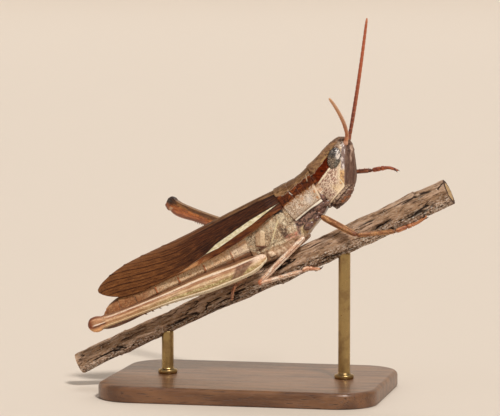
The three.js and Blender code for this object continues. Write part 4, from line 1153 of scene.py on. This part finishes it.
def build_head():
    heights = rounded_steps(HEAD_LOW, HEAD_HIGH, 230)
    flat = head_grid(heights, turn_angles(280))
    body = Piece(skull)
    body.add(lift(flat, head_relief(flat, heights)), flat)
    body.make("head_capsule", "head", "cuticle", head_finish())

    finish = eye_finish()
    lat, lon = even(-math.pi / 2 + 0.02, math.pi / 2 - 0.02, 90)[:, None], turn_angles(120)
    shape = stacked(np.cos(lat) * np.cos(lon), np.cos(lat) * np.sin(lon), np.sin(lat)) * EYE_HALF
    tilted = shape @ np.array([[EYE_COS, 0, EYE_SIN], [0, 1, 0], [-EYE_SIN, 0, EYE_COS]]).T
    for name, side in SIDES.items():
        body = Piece(skull)
        body.add(tilted + np.array(EYE_MIDDLE) * [1, side, 1], shape)
        body.make(f"eye_{name}_lens", f"eye_{name}", "eye", finish)


FEELERS = {
    "right": [(3.96, -0.36, 1.8), (4.21, -0.7, 2.78), (4.22, -1.6, 3.59), (4.29, -4.2, 4.72), (4.29, -8, 6.1),
              (4.24, -10.6, 6.93)],
    "left": [(4.05, 0.36, 1.8), (4.28, 0.45, 2.75), (4.72, 1.2, 6.03), (5.15, 2, 9.9), (5.55, 3, 14.33)],
}
# The left, far feeler's colours are a darker copy of the right's: painted shade.
FEELER_COLOURS = {"right": ("b56c48", "cf9468", "e6bd96"), "left": ("5c2414", "a34c28", "c87c50")}
FEELER_ROWS = [[0, 0.25, 0.25], [0.05, 0.23, 0.23], [0.08, 0.19, 0.19], [0.25, 0.2, 0.18], [0.6, 0.18, 0.16],
               [0.96, 0.13, 0.13], [1, 0.07, 0.07]]
FEELER_JOINTS = 23
PALP_ROWS = [[0, 0.26, 0.26], [0.5, 0.25, 0.25], [0.9, 0.27, 0.27], [1, 0.16, 0.16]]
PALP_JOINTS = 4
# The outer and the inner palp of the left side, each with its size.
PALPS = (
    ([(2.75, 0.6, -3.65), (2.5, 0.8, -4.05), (2.62, 0.78, -4.4)], 0.8),
    ([(3.1, 0.34, -3.9), (3.1, 0.42, -4.25), (3.3, 0.36, -4.5)], 0.62),
)


def barrels(share, count, depth, power):
    """Relief that draws a limb in at both ends of each of its joints."""
    return -depth * np.abs(2 * (share * count % 1) - 1) ** power


def build_feelers():
    def relief(distance, share, angle):
        return barrels(share, FEELER_JOINTS, 0.025, 5) + 0.03 * ramp(share, 0.045, 0.02)

    for name, path in FEELERS.items():
        body = Piece(skull)
        body.add_limb(Limb(path, FEELER_ROWS, up=(1, 0, 0), rings=500, sides=28, relief=relief))
        finish = feeler_finish(f"antenna_{name}", *FEELER_COLOURS[name], FEELER_JOINTS)
        body.make(f"antenna_{name}_segments", f"antenna_{name}", "antenna", finish)


def build_palps():
    def relief(distance, share, angle):
        return barrels(share, PALP_JOINTS, 0.09, 4)

    finish = small_leg_finish("leg_palp", "5c4034", "a08672", "2c1a14", "3a241c", coat=0.7)
    for name, side in SIDES.items():
        body = Piece(skull)
        for path, size in PALPS:
            rows = [[place, size * tall, size * thick] for place, tall, thick in PALP_ROWS]
            limb = Limb(mirrored(path, side), rows, up=(1, 0, 0), rings=90, sides=24, relief=relief)
            body.add_limb(limb, kind=SHIN)
        body.make(f"palp_{name}_pair", f"palp_{name}", "leg", finish)


# ---------------------------------------------------------------- thorax, abdomen and wings
# (where the seam is at its upper end, its lean, how deep it is)
THORAX_SEAMS = (-0.16, 0.87, 0.1), (-1.15, 0.75, 0.07), (0.95, 0.2, 0.09), (-2.3, 0.6, 0.06)
FLAP_PATH = [(-2.6, 1.8, -3.1), (-2.95, 1.92, -3.85), (-3.28, 1.88, -4.6)]
FLAP_ROWS = [[0, 0.4, 0.06], [0.15, 0.47, 0.09], [0.85, 0.47, 0.1], [1, 0.42, 0.05]]
LUMP_ROWS = [[0, 0.6, 0.5], [0.4, 1, 0.8], [1, 0.5, 0.4]]
# Lumps at the front of the thorax's left side, each with its radius.
FORE_LUMPS = (
    ([(1.36, 1.3, -4.8), (2.0, 1.43, -4.68), (2.6, 1.33, -4.52)], 0.36),
    ([(2.65, 1.28, -4.42), (3.0, 1.36, -4.34), (3.35, 1.22, -4.22)], 0.26),
)


def build_thorax():
    flat = plate(THORAX_ROWS, rounded_steps(-4.35, 3.2, 150), turn_angles(220), power=2.6)
    x, y, z = flat[..., 0], flat[..., 1], flat[..., 2]
    flank = ramp(np.abs(y), 0.7, 1.2)
    relief = 0.03 * rough(flat, 1.6, 3) + 0.012 * rough(flat, 6, 1)
    for foot, lean, deep in THORAX_SEAMS:
        line = x - foot - (z + 2.49) * lean
        relief += flank * (deep * hump(line, 0, 0.13) - 0.9 * deep * hump(line, 0.26, 0.1))
    relief += flank * (0.05 * hump(z, -5.15, 0.12) - 0.07 * hump(z, -4.95, 0.08) * ramp(x, -3.9, -3.5))
    relief += 0.33 * ramp(z, -5.5, -5.95) * ramp(x, 0.9, -0.9)
    relief -= 0.06 * hump(y, 0, 0.08) * ramp(z, -4.6, -5.2)
    body = Piece(trunk)
    body.add(tuck(lift(flat, relief)), flat)
    for side in SIDES.values():
        flap = Limb(mirrored(FLAP_PATH, side), FLAP_ROWS, up=(0.9, 0, -0.42), rings=50, sides=48, power=4,
                    round_ends=(0.3, 0.3))
        body.add_limb(flap, finish=1)
        for path, radius in FORE_LUMPS:
            rows = [[place, tall * radius, thick * radius] for place, tall, thick in LUMP_ROWS]
            body.add_limb(Limb(mirrored(path, side), rows, rings=50, sides=48), finish=2)
    body.make("thorax_plates", "thorax", "cuticle", thorax_finish(), flap_finish(), sternum_finish())


ABDOMEN_JOINTS = np.array([-4.39, -6.4, -9.55, -12.5, -15.1, -17.4, -19.3, -21.0])
# The tip's upper plate, lower plate and the two prongs between them.
TAIL_PRONG = [(-20.85, 0.2, -4.28), (-21.15, 0.26, -4.32), (-21.42, 0.26, -4.34)]
PRONG_ROWS = [[0, 0.1, 0.1], [1, 0.04, 0.04]]
TAIL_PARTS = (
    ([(-20.75, 0, -4.0), (-21.1, 0, -4.12), (-21.45, 0, -4.3)],
     [[0, 0.22, 0.34], [0.6, 0.16, 0.28], [1, 0.06, 0.12]]),
    ([(-20.7, 0, -4.6), (-21.1, 0, -4.62), (-21.42, 0, -4.52)],
     [[0, 0.3, 0.34], [0.6, 0.2, 0.24], [1, 0.06, 0.08]]),
    (TAIL_PRONG, PRONG_ROWS),
    (mirrored(TAIL_PRONG, -1), PRONG_ROWS),
)


def build_abdomen():
    xs = even(-21, -4.39, 420)
    ring = np.clip(np.searchsorted(-ABDOMEN_JOINTS, -xs) - 1, 0, len(ABDOMEN_JOINTS) - 2)
    part = (ABDOMEN_JOINTS[ring] - xs) / (ABDOMEN_JOINTS[ring] - ABDOMEN_JOINTS[ring + 1])
    flat = plate(ABDOMEN_ROWS, xs, turn_angles(180), power=2.2)
    y, z = flat[..., 1], flat[..., 2]
    top, bottom, half = along(ABDOMEN_ROWS, xs)[..., None]
    flare = 0.085 * part**1.5 * ramp(part, 1.0, 0.975)
    size = np.clip(half / 1.2, 0.3, 1)
    relief = (flare - 0.05 * hump(part, 0.03, 0.04))[:, None] * size + 0.012 * rough(flat, 4, 2)
    seam = bottom + 0.3 * (top - bottom)
    fold = 0.05 * hump(z, seam + 0.16, 0.1) - 0.06 * hump(z, seam, 0.1)
    relief += size * fold * ramp(np.abs(y), 0.3, 0.7)
    relief += 0.05 * hump(y, 0, 0.08) * ramp(z, top - 0.6, top - 0.2)
    body = Piece(trunk)
    body.add(lift(flat, relief), flat, stacked(part[:, None], z, y))
    finish = abdomen_finish()
    body.make("abdomen_rings", "abdomen", "abdomen", finish)

    tail = Piece(trunk)
    for path, rows in TAIL_PARTS:
        grid = Limb(path, rows, rings=40, sides=28).grid()
        tail.add(grid, share=np.full(grid.shape, 0.5))
    tail.make("abdomen_tip_plates", "abdomen_tip", "abdomen", finish)


def stripe_height(x):
    """Height of the pale stripe's middle line in the trunk's frame."""
    return 0.1786 * x - 1.436


def stripe_half(x, least=np.minimum, most=np.maximum):
    """Half the width of the pale stripe, which tapers to both ends."""
    return most(least(least((0.04 - x) * 0.078, 0.24), (x + 8.6) * 0.17), 0.0)


def crest(value, low, high):
    """Narrow lines, one at each whole number that value passes."""
    return ramp(np.abs(value % 1 - 0.5) * 2, low, high)


def build_forewing(name, side, finish):
    xs = np.concatenate([even(WING_TIP, -20.3, 24, endpoint=False), even(-20.3, 0.5, 276)])
    angles = even(0, math.pi / 2, 150)
    outer = wing_grid(side, xs, angles)
    inner = wing_grid(side, xs, angles, inset=0.14)[:, ::-1]
    top, edge, _ = along(WING_ROWS, xs)[..., None]
    x, z = outer[..., 0], outer[..., 2]
    line, depth = z - stripe_height(x), top - z
    fan = line / np.maximum(top - stripe_height(x), 0.3) - 0.035 * np.maximum(-11 - x, 0) ** 1.3
    jitter = 0.12 * rough(stacked(x * 0.25, z * 1.2, 0.0), 1.0, 2, seed=3.0)
    fanned = crest(fan * 6.5 + jitter, 0.78, 0.96) + 0.45 * crest(fan * 13 + jitter, 0.78, 0.96)
    stripe = stripe_half(x)
    edges = hump(line, stripe + 0.03, 0.05) + hump(line, -stripe - 0.03, 0.05)
    veins = ramp(line, 0.3, 0.42) * fanned + 1.3 * edges * ramp(x, -10.5, -8.5)
    veins += 0.7 * ramp(line, -0.3, -0.4) * crest(line * 2.6, 0.7, 0.95)
    relief = 0.035 * veins + 0.04 * hump(z, edge + 0.06, 0.06)
    relief += 0.03 * hump(depth, 0.42, 0.07) * ramp(x, -12, -8)
    relief += 0.02 * rough(stacked(x * 0.4, z, 0.0), 1.5, 2, seed=9.0)
    relief *= ramp(x, WING_TIP, -20.5)
    grid = np.concatenate([lift(outer, relief - 0.02, closed=False), inner], 1)
    veins = np.concatenate([veins, veins[:, ::-1] * 0.5], 1)
    fan = np.concatenate([fan, fan[:, ::-1]], 1)
    depth = np.concatenate([depth, top - inner[..., 2]], 1)
    body = Piece(trunk)
    body.add(tuck(grid), grid, stacked(fan, np.clip(veins, 0, 1), depth))
    body.make(f"forewing_{name}_veined", f"forewing_{name}", "forewing", finish)


def build_hindwing(name, side, finish):
    xs, angles = even(-19, -4.0, 140), even(0.1, math.pi / 2, 80)
    pleat = 0.05 * np.sin(angles * HINDWING_FOLDS)[None] * ramp(xs, -19, -18)[:, None]
    outer, inner = (
        lift(wing_grid(side, xs, angles, HINDWING_ROWS, HINDWING_POWER, inset), pleat, closed=False)
        for inset in (0.0, 0.12)
    )
    body = Piece(trunk)
    share = stacked(xs[:, None], np.concatenate([angles, angles[::-1]]), 0.0)
    body.add(np.concatenate([outer, inner[:, ::-1]], 1), share=share)
    body.make(f"hindwing_{name}_fan", f"hindwing_{name}", "hindwing", finish)


def build_wings():
    outer, folded = forewing_finish(), hindwing_finish()
    for name, side in SIDES.items():
        build_forewing(name, side, outer)
        build_hindwing(name, side, folded)


# ---------------------------------------------------------------- legs
# bark lists the places along the twig, and the angles round it, that the toes hold. hang is the side of a
# jumping leg that faces down.
LEGS = {
    "foreleg_right": dict(
        coxa=[(3.15, -0.78, -3.92), (3.6, -1.05, -4.3)], hip=(3.5, -1.3, -4.34), knee=(6.17, -2.3, -7.5),
        ankle=(9.75, -1.5, -8.75), bark=[(17.0, -143), (18.2, -148), (19.2, -140)]),
    "foreleg_left": dict(
        coxa=[(3.0, 0.8, -3.6), (3.4, 1.1, -3.75)], hip=(3.55, 1.3, -3.6), knee=(5.6, 2.95, -1.0),
        ankle=(9.45, 2.2, -2.3), foot=[(10.5, 2.05, -2.55), (11.2, 1.9, -2.8), (11.75, 1.8, -3.25)]),
    "midleg_right": dict(
        coxa=[(0.55, -1.2, -4.9), (1.05, -1.45, -5.45)], hip=(1.15, -1.6, -5.5), knee=(-4.93, -2.35, -7.83),
        ankle=(-0.5, -1.45, -8.5), bark=[(6.2, -126), (6.9, -146), (7.3, -166)]),
    "midleg_left": dict(
        coxa=[(0.55, 1.2, -4.9), (1.05, 1.45, -5.45)], hip=(1.15, 1.6, -5.5), knee=(-5.2, 2.5, -7.15),
        ankle=(-1.0, 1.5, -8.4), bark=[(5.7, 126), (6.4, 146), (6.8, 166)]),
    "hindleg_right": dict(
        coxa=[(-2.5, -1.3, -5.5), (-2.8, -1.65, -6.0)], hip=(-3.0, -2.42, -5.7), knee=(-22.6, -2.95, -4.65),
        ankle=(-5.85, -2.2, -6.78), hang=(0, 0, -1), bark=[(-0.9, -64), (-1.6, -88), (-2.0, -113)]),
    "hindleg_left": dict(
        coxa=[(-2.5, 1.3, -5.5), (-2.8, 1.65, -6.0)], hip=(-3.0, 2.5, -4.85), knee=(-14.5, 15.9, 3.85),
        ankle=(-5.2, 3.4, -5.4), hang=(-0.7, -0.15, -0.7), bark=[(0.9, 50), (0.5, 72), (0.4, 95)]),
}
SMALL_FEMUR = [[0, 0.22, 0.22], [0.06, 0.31, 0.28], [0.45, 0.35, 0.3], [0.9, 0.26, 0.25], [1, 0.2, 0.2]]
SMALL_TIBIA = [[0, 0.2, 0.2], [0.08, 0.24, 0.23], [0.5, 0.2, 0.2], [0.9, 0.22, 0.21], [1, 0.18, 0.18]]
FOOT_ROWS = [[0, 0.18, 0.18], [0.08, 0.22, 0.23], [0.85, 0.2, 0.21], [1, 0.16, 0.16]]
COXA_ROWS = [[0, 0.5, 0.5], [0.6, 0.5, 0.48], [1, 0.3, 0.3]]
JUMPING_FEMUR = [
    [0, 0.36, 0.3], [0.02, 0.5, 0.42], [0.05, 0.68, 0.52], [0.1, 0.83, 0.58], [0.18, 0.89, 0.62],
    [0.26, 0.94, 0.62], [0.33, 0.95, 0.6], [0.42, 0.83, 0.55], [0.51, 0.69, 0.5], [0.6, 0.6, 0.46],
    [0.7, 0.56, 0.42], [0.79, 0.56, 0.39], [0.88, 0.56, 0.38], [0.93, 0.66, 0.4], [0.965, 0.75, 0.42],
    [0.99, 0.62, 0.38], [1, 0.42, 0.3],
]
JUMPING_TIBIA = [[0, 0.26, 0.24], [0.06, 0.27, 0.26], [0.5, 0.26, 0.26], [0.95, 0.29, 0.28], [1, 0.22, 0.22]]
# (share of the way from hip to knee, how far below that line)
FEMUR_SAG = [
    (0, 0), (0.1, 0.27), (0.25, 0.31), (0.42, 0.24), (0.6, 0.2), (0.85, 0.18), (0.96, 0.06), (1, 0.02),
]
SHIN_DROP = [
    (0.99, 0.32), (0.96, 0.46), (0.92, 0.64), (0.87, 0.8), (0.8, 0.8), (0.7, 0.66), (0.6, 0.6), (0.5, 0.62),
]
SHIN_INSET = 0.2
FOOT_CLEARANCE = 0.34
# What a point is on, as the leg finishes read it from w: a femur or a jumping leg's shin is about 0.
SHIN, FOOT, CLAW, JUMPING_SPINE = 10, 20, 24, -8
JUMPING_SPINES = dict(
    places=even(0.34, 0.93, 13), length=0.34, radius=0.055, spurs=(-2.3, -1.2, -0.7, -1.9), spur_length=0.5,
    kind=JUMPING_SPINE)
SMALL_SPINES = dict(
    places=even(0.45, 0.9, 5), length=0.2, radius=0.04, spurs=(-2.2, -0.9), spur_length=0.26, kind=SHIN)


def jumping_lines(hip, knee, ankle, hang):
    """The middle lines of a folded jumping leg's femur and shin, and its upward direction."""
    forward = unit(hip - knee)
    down = unit(hang - forward * (hang @ forward))
    inward = np.cross(down, forward) * np.sign(hip[1])

    def place(share, drop, inset=0):
        return hip + (knee - hip) * share + down * drop + inward * inset

    femur = [place(share, drop) for share, drop in FEMUR_SAG]
    shin = [place(share, drop, SHIN_INSET) for share, drop in SHIN_DROP]
    return femur, [*shin, (shin[-1] + ankle) / 2, ankle], -down


def on_bark(place, angle):
    """A toe's point at a place along the twig and an angle round it in degrees, in the trunk's frame."""
    radius = along(TWIG_RADII, place)[0] + FOOT_CLEARANCE
    angle = math.radians(angle)
    return trunk.local(bough.world([place, radius * math.sin(angle), radius * math.cos(angle)]))


def femur_relief(distance, share, angle):
    """Keels along the edges, and the herringbone between them on the flat faces."""
    high, out = np.abs(np.sin(angle)), np.abs(np.cos(angle))
    face = ramp(high, 0.66, 0.5)
    keels = 0.05 * (hump(angle, math.pi / 2, 0.16) + hump(angle, 1.5 * math.pi, 0.16))
    rails = (0.07 * hump(high, 0.72, 0.08) - 0.03 * face) * out
    bones = 0.02 * np.sin(distance * 3.4 + high * 1.9) * face * ramp(share, 0.82, 0.7)
    fade = ramp(share, 0.03, 0.08) * ramp(share, 0.97, 0.9)
    knee = 0.04 * hump(share, 0.945, 0.014) - 0.05 * hump(share, 0.918, 0.008)
    return (keels + rails + bones) * fade + knee - 0.04 * hump(share, 0.03, 0.008)


def small_relief(distance, share, angle):
    keels = 0.03 * hump(np.cos(2 * angle), -1, 0.25) + 0.03 * hump(np.cos(4 * angle), 1, 0.2)
    return keels * ramp(share, 0.06, 0.14) * ramp(share, 0.96, 0.88) - 0.03 * hump(share, 0.92, 0.02)


def shin_relief(distance, share, angle):
    keels = 0.02 * hump(np.cos(angle * 2 + 0.4), 1, 0.3)
    return keels * ramp(share, 0.08, 0.14) - 0.05 * hump(share, 0.075, 0.014)


def foot_relief(distance, share, angle):
    """Three joints, with soft pads below the first two."""
    joints = -0.09 * (hump(share, 0.36, 0.018) + hump(share, 0.52, 0.018))
    pads = 0.05 * (hump(share, 0.12, 0.05) + hump(share, 0.24, 0.04) + hump(share, 0.44, 0.05))
    slim = -0.06 * ramp(share, 0.52, 0.6) * ramp(share, 1.0, 0.9)
    return joints + pads * ramp(np.cos(angle * 2), 0.2, -0.9) + slim


def coxa_relief(distance, share, angle):
    return 0.04 * np.sin(3 * angle + 6 * share) * ramp(share, 0, 0.3)


def add_claws(body, limb, grip, outer):
    """Two hooked claws and the pad between them, at the foot's end. grip points at what it holds."""
    end, tangent = limb.middle[-1], limb.tangent[-1]
    sideways = unit(np.cross(tangent, grip))
    for sign in (-1, 1):
        base = end - tangent * 0.12 + sideways * 0.1 * sign
        direction = tangent * 0.8 + sideways * 0.75 * sign - grip * 0.15
        spike(body, base, direction, length=0.42, radius=0.075, share=(1, 0, CLAW), bend=grip * 0.26)
    path = [end - tangent * 0.1, end + tangent * 0.06 + grip * 0.04, end + tangent * 0.2 + grip * 0.08]
    pad = Limb(path, [[0, 0.07, 0.1], [0.6, 0.08, 0.13], [1, 0.03, 0.06]], up=grip, rings=16, sides=16)
    body.add(pad.grid(), pad.places(), pad.shares(outer, FOOT))


def add_knee_lobes(body, femur, outer):
    """A rounded flap on each face of the jumping leg's knee."""
    for angle, across in ((-0.95, 0.2), (math.pi + 0.95, 0.2), (0.35, 0.24), (math.pi - 0.35, 0.24)):
        path = [femur.at(share, angle, sink=0.03)[0] for share in (0.915, 0.95, 0.982)]
        rows = [[0, 0.4 * across, 0.05], [0.5, across, 0.12], [1, 0.6 * across, 0.07]]
        lobe = Limb(path, rows, rings=40, sides=36)
        share = lobe.shares(outer) * [0.067, 0.12, 1] + [0.915, math.sin(angle), 0]
        body.add(lobe.grid(), lobe.places(outer), share)


def add_spines(body, shin, thigh, places, length, radius, spurs, spur_length, kind):
    """Two rows of spines down the shin's far side from the thigh, or its lower side, and spurs at its end."""
    for row in (-0.5, 0.5):
        for share in places:
            i = shin.nearest(share)
            away = -math.pi / 2
            if thigh is not None:
                far = shin.middle[i] - thigh
                away = math.atan2(far @ shin.height[i], far @ shin.side[i])
            base, out, ahead = shin.at(share, away + row, sink=0.04)
            spike(body, base, out * 0.75 + ahead * 0.7, length, radius, (0.9, 0, kind))
    for angle in spurs:
        base, out, ahead = shin.at(0.975, angle, sink=0.05)
        spike(body, base, out * 0.45 + ahead, spur_length, radius * 1.15, (0.9, 0, kind))


def build_leg(name, leg, femur_finish, shin_finish, coxa_finish):
    jumping, side = "hang" in leg, SIDES[name.split("_")[1]]
    outer, up = -side, (0, side, 0.3)
    hip, knee, ankle = (np.array(leg[joint], float) for joint in ("hip", "knee", "ankle"))
    if jumping:
        femur_line, shin_line, back = jumping_lines(hip, knee, ankle, np.array(leg["hang"], float))
        femur = Limb(femur_line, JUMPING_FEMUR, up=back, rings=420, sides=128, power=2.3, relief=femur_relief)
        shin = Limb(shin_line, JUMPING_TIBIA, up=back, rings=260, sides=40, relief=shin_relief)
    else:
        thigh = (hip + knee) / 2
        femur = Limb([hip, thigh, knee], SMALL_FEMUR, up=up, rings=160, sides=48, relief=small_relief)
        shin_line = [knee, (knee + ankle) / 2, ankle]
        shin = Limb(shin_line, SMALL_TIBIA, up=up, rings=140, sides=40, relief=small_relief)
    body = Piece(trunk)
    body.add_limb(femur, outer)
    if jumping:
        add_knee_lobes(body, femur, outer)
    body.make(f"{name}_femur_keeled", f"{name}_femur", "leg", femur_finish)

    body = Piece(trunk)
    if jumping:
        body.add_limb(shin, outer)
        add_spines(body, shin, None, **JUMPING_SPINES)
    else:
        body.add_limb(shin, outer, SHIN)
        add_spines(body, shin, thigh, **SMALL_SPINES)
    body.make(f"{name}_tibia_spined", f"{name}_tibia", "leg", shin_finish)

    toes, grip = leg.get("foot"), np.array([0.1, 0, -1.0])
    if "bark" in leg:
        toes = [on_bark(*toe) for toe in leg["bark"]]
        grip = trunk.local(bough.world([leg["bark"][-1][0], 0, 0])) - toes[-1]
    foot = Limb([ankle, *toes], FOOT_ROWS, up=up, rings=200, sides=36, relief=foot_relief)
    body = Piece(trunk)
    body.add(foot.grid(), foot.places(), foot.shares(outer, FOOT))
    add_claws(body, foot, unit(grip), outer)
    body.make(f"{name}_foot_clawed", f"{name}_foot", "leg", shin_finish)

    start, end = np.array(leg["coxa"])
    line = [start, (start + end) / 2, end]
    coxa = Limb(line, COXA_ROWS, up=(1, 0, 0), rings=60, sides=56, relief=coxa_relief)
    body = Piece(trunk)
    body.add(coxa.grid(), share=coxa.shares())
    body.make(f"{name}_coxa_lobed", f"{name}_coxa", "cuticle", coxa_finish)


def build_legs():
    front_right = small_leg_finish("leg_front", "97613a", "cd9864", "52301c", "70381c", "84452a", "c98559")
    front_left = small_leg_finish("leg_front_left", "6b351f", "a05c34", "3c1c12", "552714")
    middle = small_leg_finish("leg_middle", "e4bc9e", "fff4e4", "834832", "b86a44", "b5704e", "eec3a0")
    coxa, fore_coxa = thorax_finish("cuticle_coxa"), sternum_finish()
    finishes = {
        "foreleg_right": (front_right, front_right, fore_coxa),
        "foreleg_left": (front_left, front_left, fore_coxa),
        "midleg_right": (middle, middle, coxa),
        "midleg_left": (middle, middle, coxa),
        "hindleg_right": (hind_femur_finish("leg_hind_femur_right", inner=False),
                          hind_shin_finish("leg_hind_shin_right", "6e4a38", "a07c5e", "a88468"), coxa),
        "hindleg_left": (hind_femur_finish("leg_hind_femur_left", inner=True),
                         hind_shin_finish("leg_hind_shin_left", "8a4822", "9a5a34", "b86c3c"), coxa),
    }
    for name, leg in LEGS.items():
        build_leg(name, leg, *finishes[name])


# ---------------------------------------------------------------- twig and stand
def build_twig():
    xs, angle = even(TWIG_FROM, TWIG_TO, 560)[:, None], turn_angles(160)
    plain = twig_radius(xs, angle)
    flat = twig_grid(xs, angle, plain)
    plates = rough(flat, 1.5, 4, seed=5.0, stretch=(0.16, 1, 1))
    cracks = 1 - np.abs(rough(flat, 1.15, 3, seed=21.0, stretch=(0.2, 1, 1))) * 7
    fine = rough(flat, 5.0, 2, seed=40.0, stretch=(0.3, 1, 1))
    ridge = -0.13 * np.clip(cracks, 0, 1) ** 1.5 + 0.12 * plates + 0.035 * fine
    scars = sum(0.08 * hump(xs, knot + 0.7 * k, 0.1) * hump(np.cos(angle - 2.0 * k), 1, 0.5)
                for knot in TWIG_KNOTS for k in (-1, 0, 1))
    keep = ramp(xs, TWIG_FROM, TWIG_FROM + 0.15) * ramp(xs, TWIG_TO, TWIG_TO - 0.15)
    radius = plain + (ridge + scars) * (0.35 + 0.65 * keep)
    grid = twig_grid(xs, angle, radius)
    body = Piece(bough)
    body.add(grid, share=stacked(ridge, scars, radius), caps=())
    for ring, way in ((0, -1), (-1, 1)):
        disc = []
        for size in even(1, 0.02, 24):
            saw_marks = 0.05 * rough(grid[ring] * [0, size, size], 2.5, 3) * min(1, 6 * (1 - size))
            bulge = 0.05 * (1 - size**6) + saw_marks
            disc.append(grid[ring] * [1, size, size] + stacked(way * bulge, 0, 0))
        body.add(np.stack(disc), caps=(-1,), finish=1)
    body.make("perch_twig_bark", "perch_twig", "bark", bark_finish(), cut_finish())


BASE_CORNER, BASE_BEVEL = 4.0, 0.45
# (radius as a share of the rod's, height above its foot)
ROD_COLLAR = [
    (0.2, 0.0), (1.5, 0.0), (1.62, 0.06), (1.62, 0.34), (1.5, 0.42), (1.12, 0.46), (1.02, 0.6), (1.0, 0.8),
]


def build_stand():
    low, high = node_box("stand_base")
    middle, half = (low + high) / 2, (high - low) / 2
    straight = high[2] - low[2] - 2 * BASE_BEVEL
    turn = turn_angles(160)
    cos, sin = np.cos(turn), np.sin(turn)

    def outline(inset, z):
        corner = BASE_CORNER - inset
        x = np.sign(cos) * (half[0] - BASE_CORNER) + corner * cos
        y = np.sign(sin) * (half[1] - BASE_CORNER) + corner * sin
        return stacked(x + middle[0], y + middle[1], z)

    def bevel(count, size):
        return [(size * (1 - math.cos(t)), size * (1 - math.sin(t))) for t in even(0, math.pi / 2, count)]

    profile = [(inset, low[2] + rise) for rise, inset in bevel(9, BASE_BEVEL * 0.5)]
    profile += [(0, low[2] + BASE_BEVEL + straight * t) for t in even(0, 1, 6)[1:-1]]
    profile += [(inset, high[2] - drop) for inset, drop in bevel(12, BASE_BEVEL)]
    profile += [(BASE_BEVEL + t * 3.0, high[2]) for t in even(0, 1, 12)[1:]]
    body = Piece(Place(0))
    body.add(np.stack([outline(*ring) for ring in profile]))
    body.make("stand_base_walnut", "stand_base", "stand_wood", walnut_finish())

    brass = brass_finish()
    for node in ("stand_rod_rear", "stand_rod_front"):
        low, high = node_box(node)
        radius, foot, top = (high[1] - low[1]) / 2, low[2], high[2]
        profile = [(share * radius, foot + height) for share, height in ROD_COLLAR]
        profile += [(radius, z) for z in even(foot + 1.1, top - 0.5, 30)]
        profile += [(radius, top - 0.25), (radius * 0.96, top - 0.12), (radius * 0.8, top)]
        body = Piece(Place(0))
        body.add(turned(profile, 64, (low[0] + high[0]) / 2))
        body.make(f"{node}_turned", node, "stand_brass", brass)


# ---------------------------------------------------------------- camera, light and floor
def aimed(name, data, azimuth, elevation, distance=1000, target=(0, 0, 0)):
    """An object that looks at the target, from distance millimetres off at an azimuth and elevation."""
    a, e = math.radians(azimuth), math.radians(elevation)
    way = Vector((math.sin(a) * math.cos(e), -math.cos(a) * math.cos(e), math.sin(e)))
    thing = shown(name, data)
    thing.location = Vector(target) * MM + way * distance * MM
    thing.rotation_mode = "QUATERNION"
    thing.rotation_quaternion = (-way).to_track_quat("-Z", "Y")
    return thing


def build_camera():
    lens = bpy.data.cameras.new("view")
    lens.lens, lens.sensor_width = 200, 36
    lens.clip_start, lens.clip_end = 0.01, 10
    camera = aimed("view", lens, azimuth=12, elevation=5, distance=277.78, target=(0, 0, 18.5))
    bpy.context.scene.camera = camera


def build_light(name, azimuth, elevation, angle, power, color=(1, 1, 1)):
    """A far soft lamp, angle degrees across."""
    lamp = bpy.data.lights.new(name, "SUN")
    lamp.angle, lamp.energy, lamp.color = math.radians(angle), power, color
    aimed(name, lamp, azimuth, elevation)


# In metres: the flat part's radius, the curved rim's, and the wall's height.
FLOOR_RADIUS, RIM_RADIUS, WALL_HEIGHT, FLOOR_SIDES = 4.5, 1.5, 4.0, 128


def build_floor():
    """A pale round floor whose rim curves up far behind the object, all the way round."""
    profile = [(radius, 0.0) for radius in (0.002, *even(0.05, FLOOR_RADIUS, 30))]
    profile += [(FLOOR_RADIUS + RIM_RADIUS * math.sin(t), RIM_RADIUS * (1 - math.cos(t)))
                for t in even(0, math.pi / 2, 24)[1:]]
    profile += [(FLOOR_RADIUS + RIM_RADIUS, WALL_HEIGHT)]
    grid = turned(profile, FLOOR_SIDES)
    hub = len(profile) * FLOOR_SIDES
    index = np.arange(hub).reshape(-1, FLOOR_SIDES)
    following = np.roll(index, -1, 1)
    faces = np.stack([index[:-1], index[1:], following[1:], following[:-1]], -1).reshape(-1, 4).tolist()
    faces += [[hub, int(a), int(b)] for a, b in zip(index[0], following[0])]
    mesh = bpy.data.meshes.new("floor")
    mesh.from_pydata([*grid.reshape(-1, 3).tolist(), (0, 0, 0)], [], faces)
    mesh.polygons.foreach_set("use_smooth", np.ones(len(faces), bool))
    material = bpy.data.materials.new("floor_paper")
    material.use_nodes = True
    shader = first_node(material.node_tree, "BSDF_PRINCIPLED")
    shader.inputs["Base Color"].default_value = linear("d9cec2")
    shader.inputs["Roughness"].default_value = 0.9
    mesh.materials.append(material)
    shown("floor", mesh)


def build_world():
    world = bpy.data.worlds.new("studio")
    world.use_nodes = True
    background = first_node(world.node_tree, "BACKGROUND")
    background.inputs["Color"].default_value = (1.0, 0.955, 0.9, 1)
    background.inputs["Strength"].default_value = 0.32
    bpy.context.scene.world = world
    bpy.context.scene.view_settings.view_transform = "Standard"


build_camera()
build_world()
build_floor()
build_light("key", azimuth=35, elevation=50, angle=9, power=2.6, color=(1.0, 0.96, 0.9))
build_light("fill", azimuth=-50, elevation=25, angle=50, power=0.3, color=(0.96, 0.97, 1.0))
build_light("rim", azimuth=190, elevation=50, angle=20, power=0.5)

build_pronotum()
build_head()
build_feelers()
build_palps()
build_thorax()
build_abdomen()
build_wings()
build_legs()
build_twig()
build_stand()
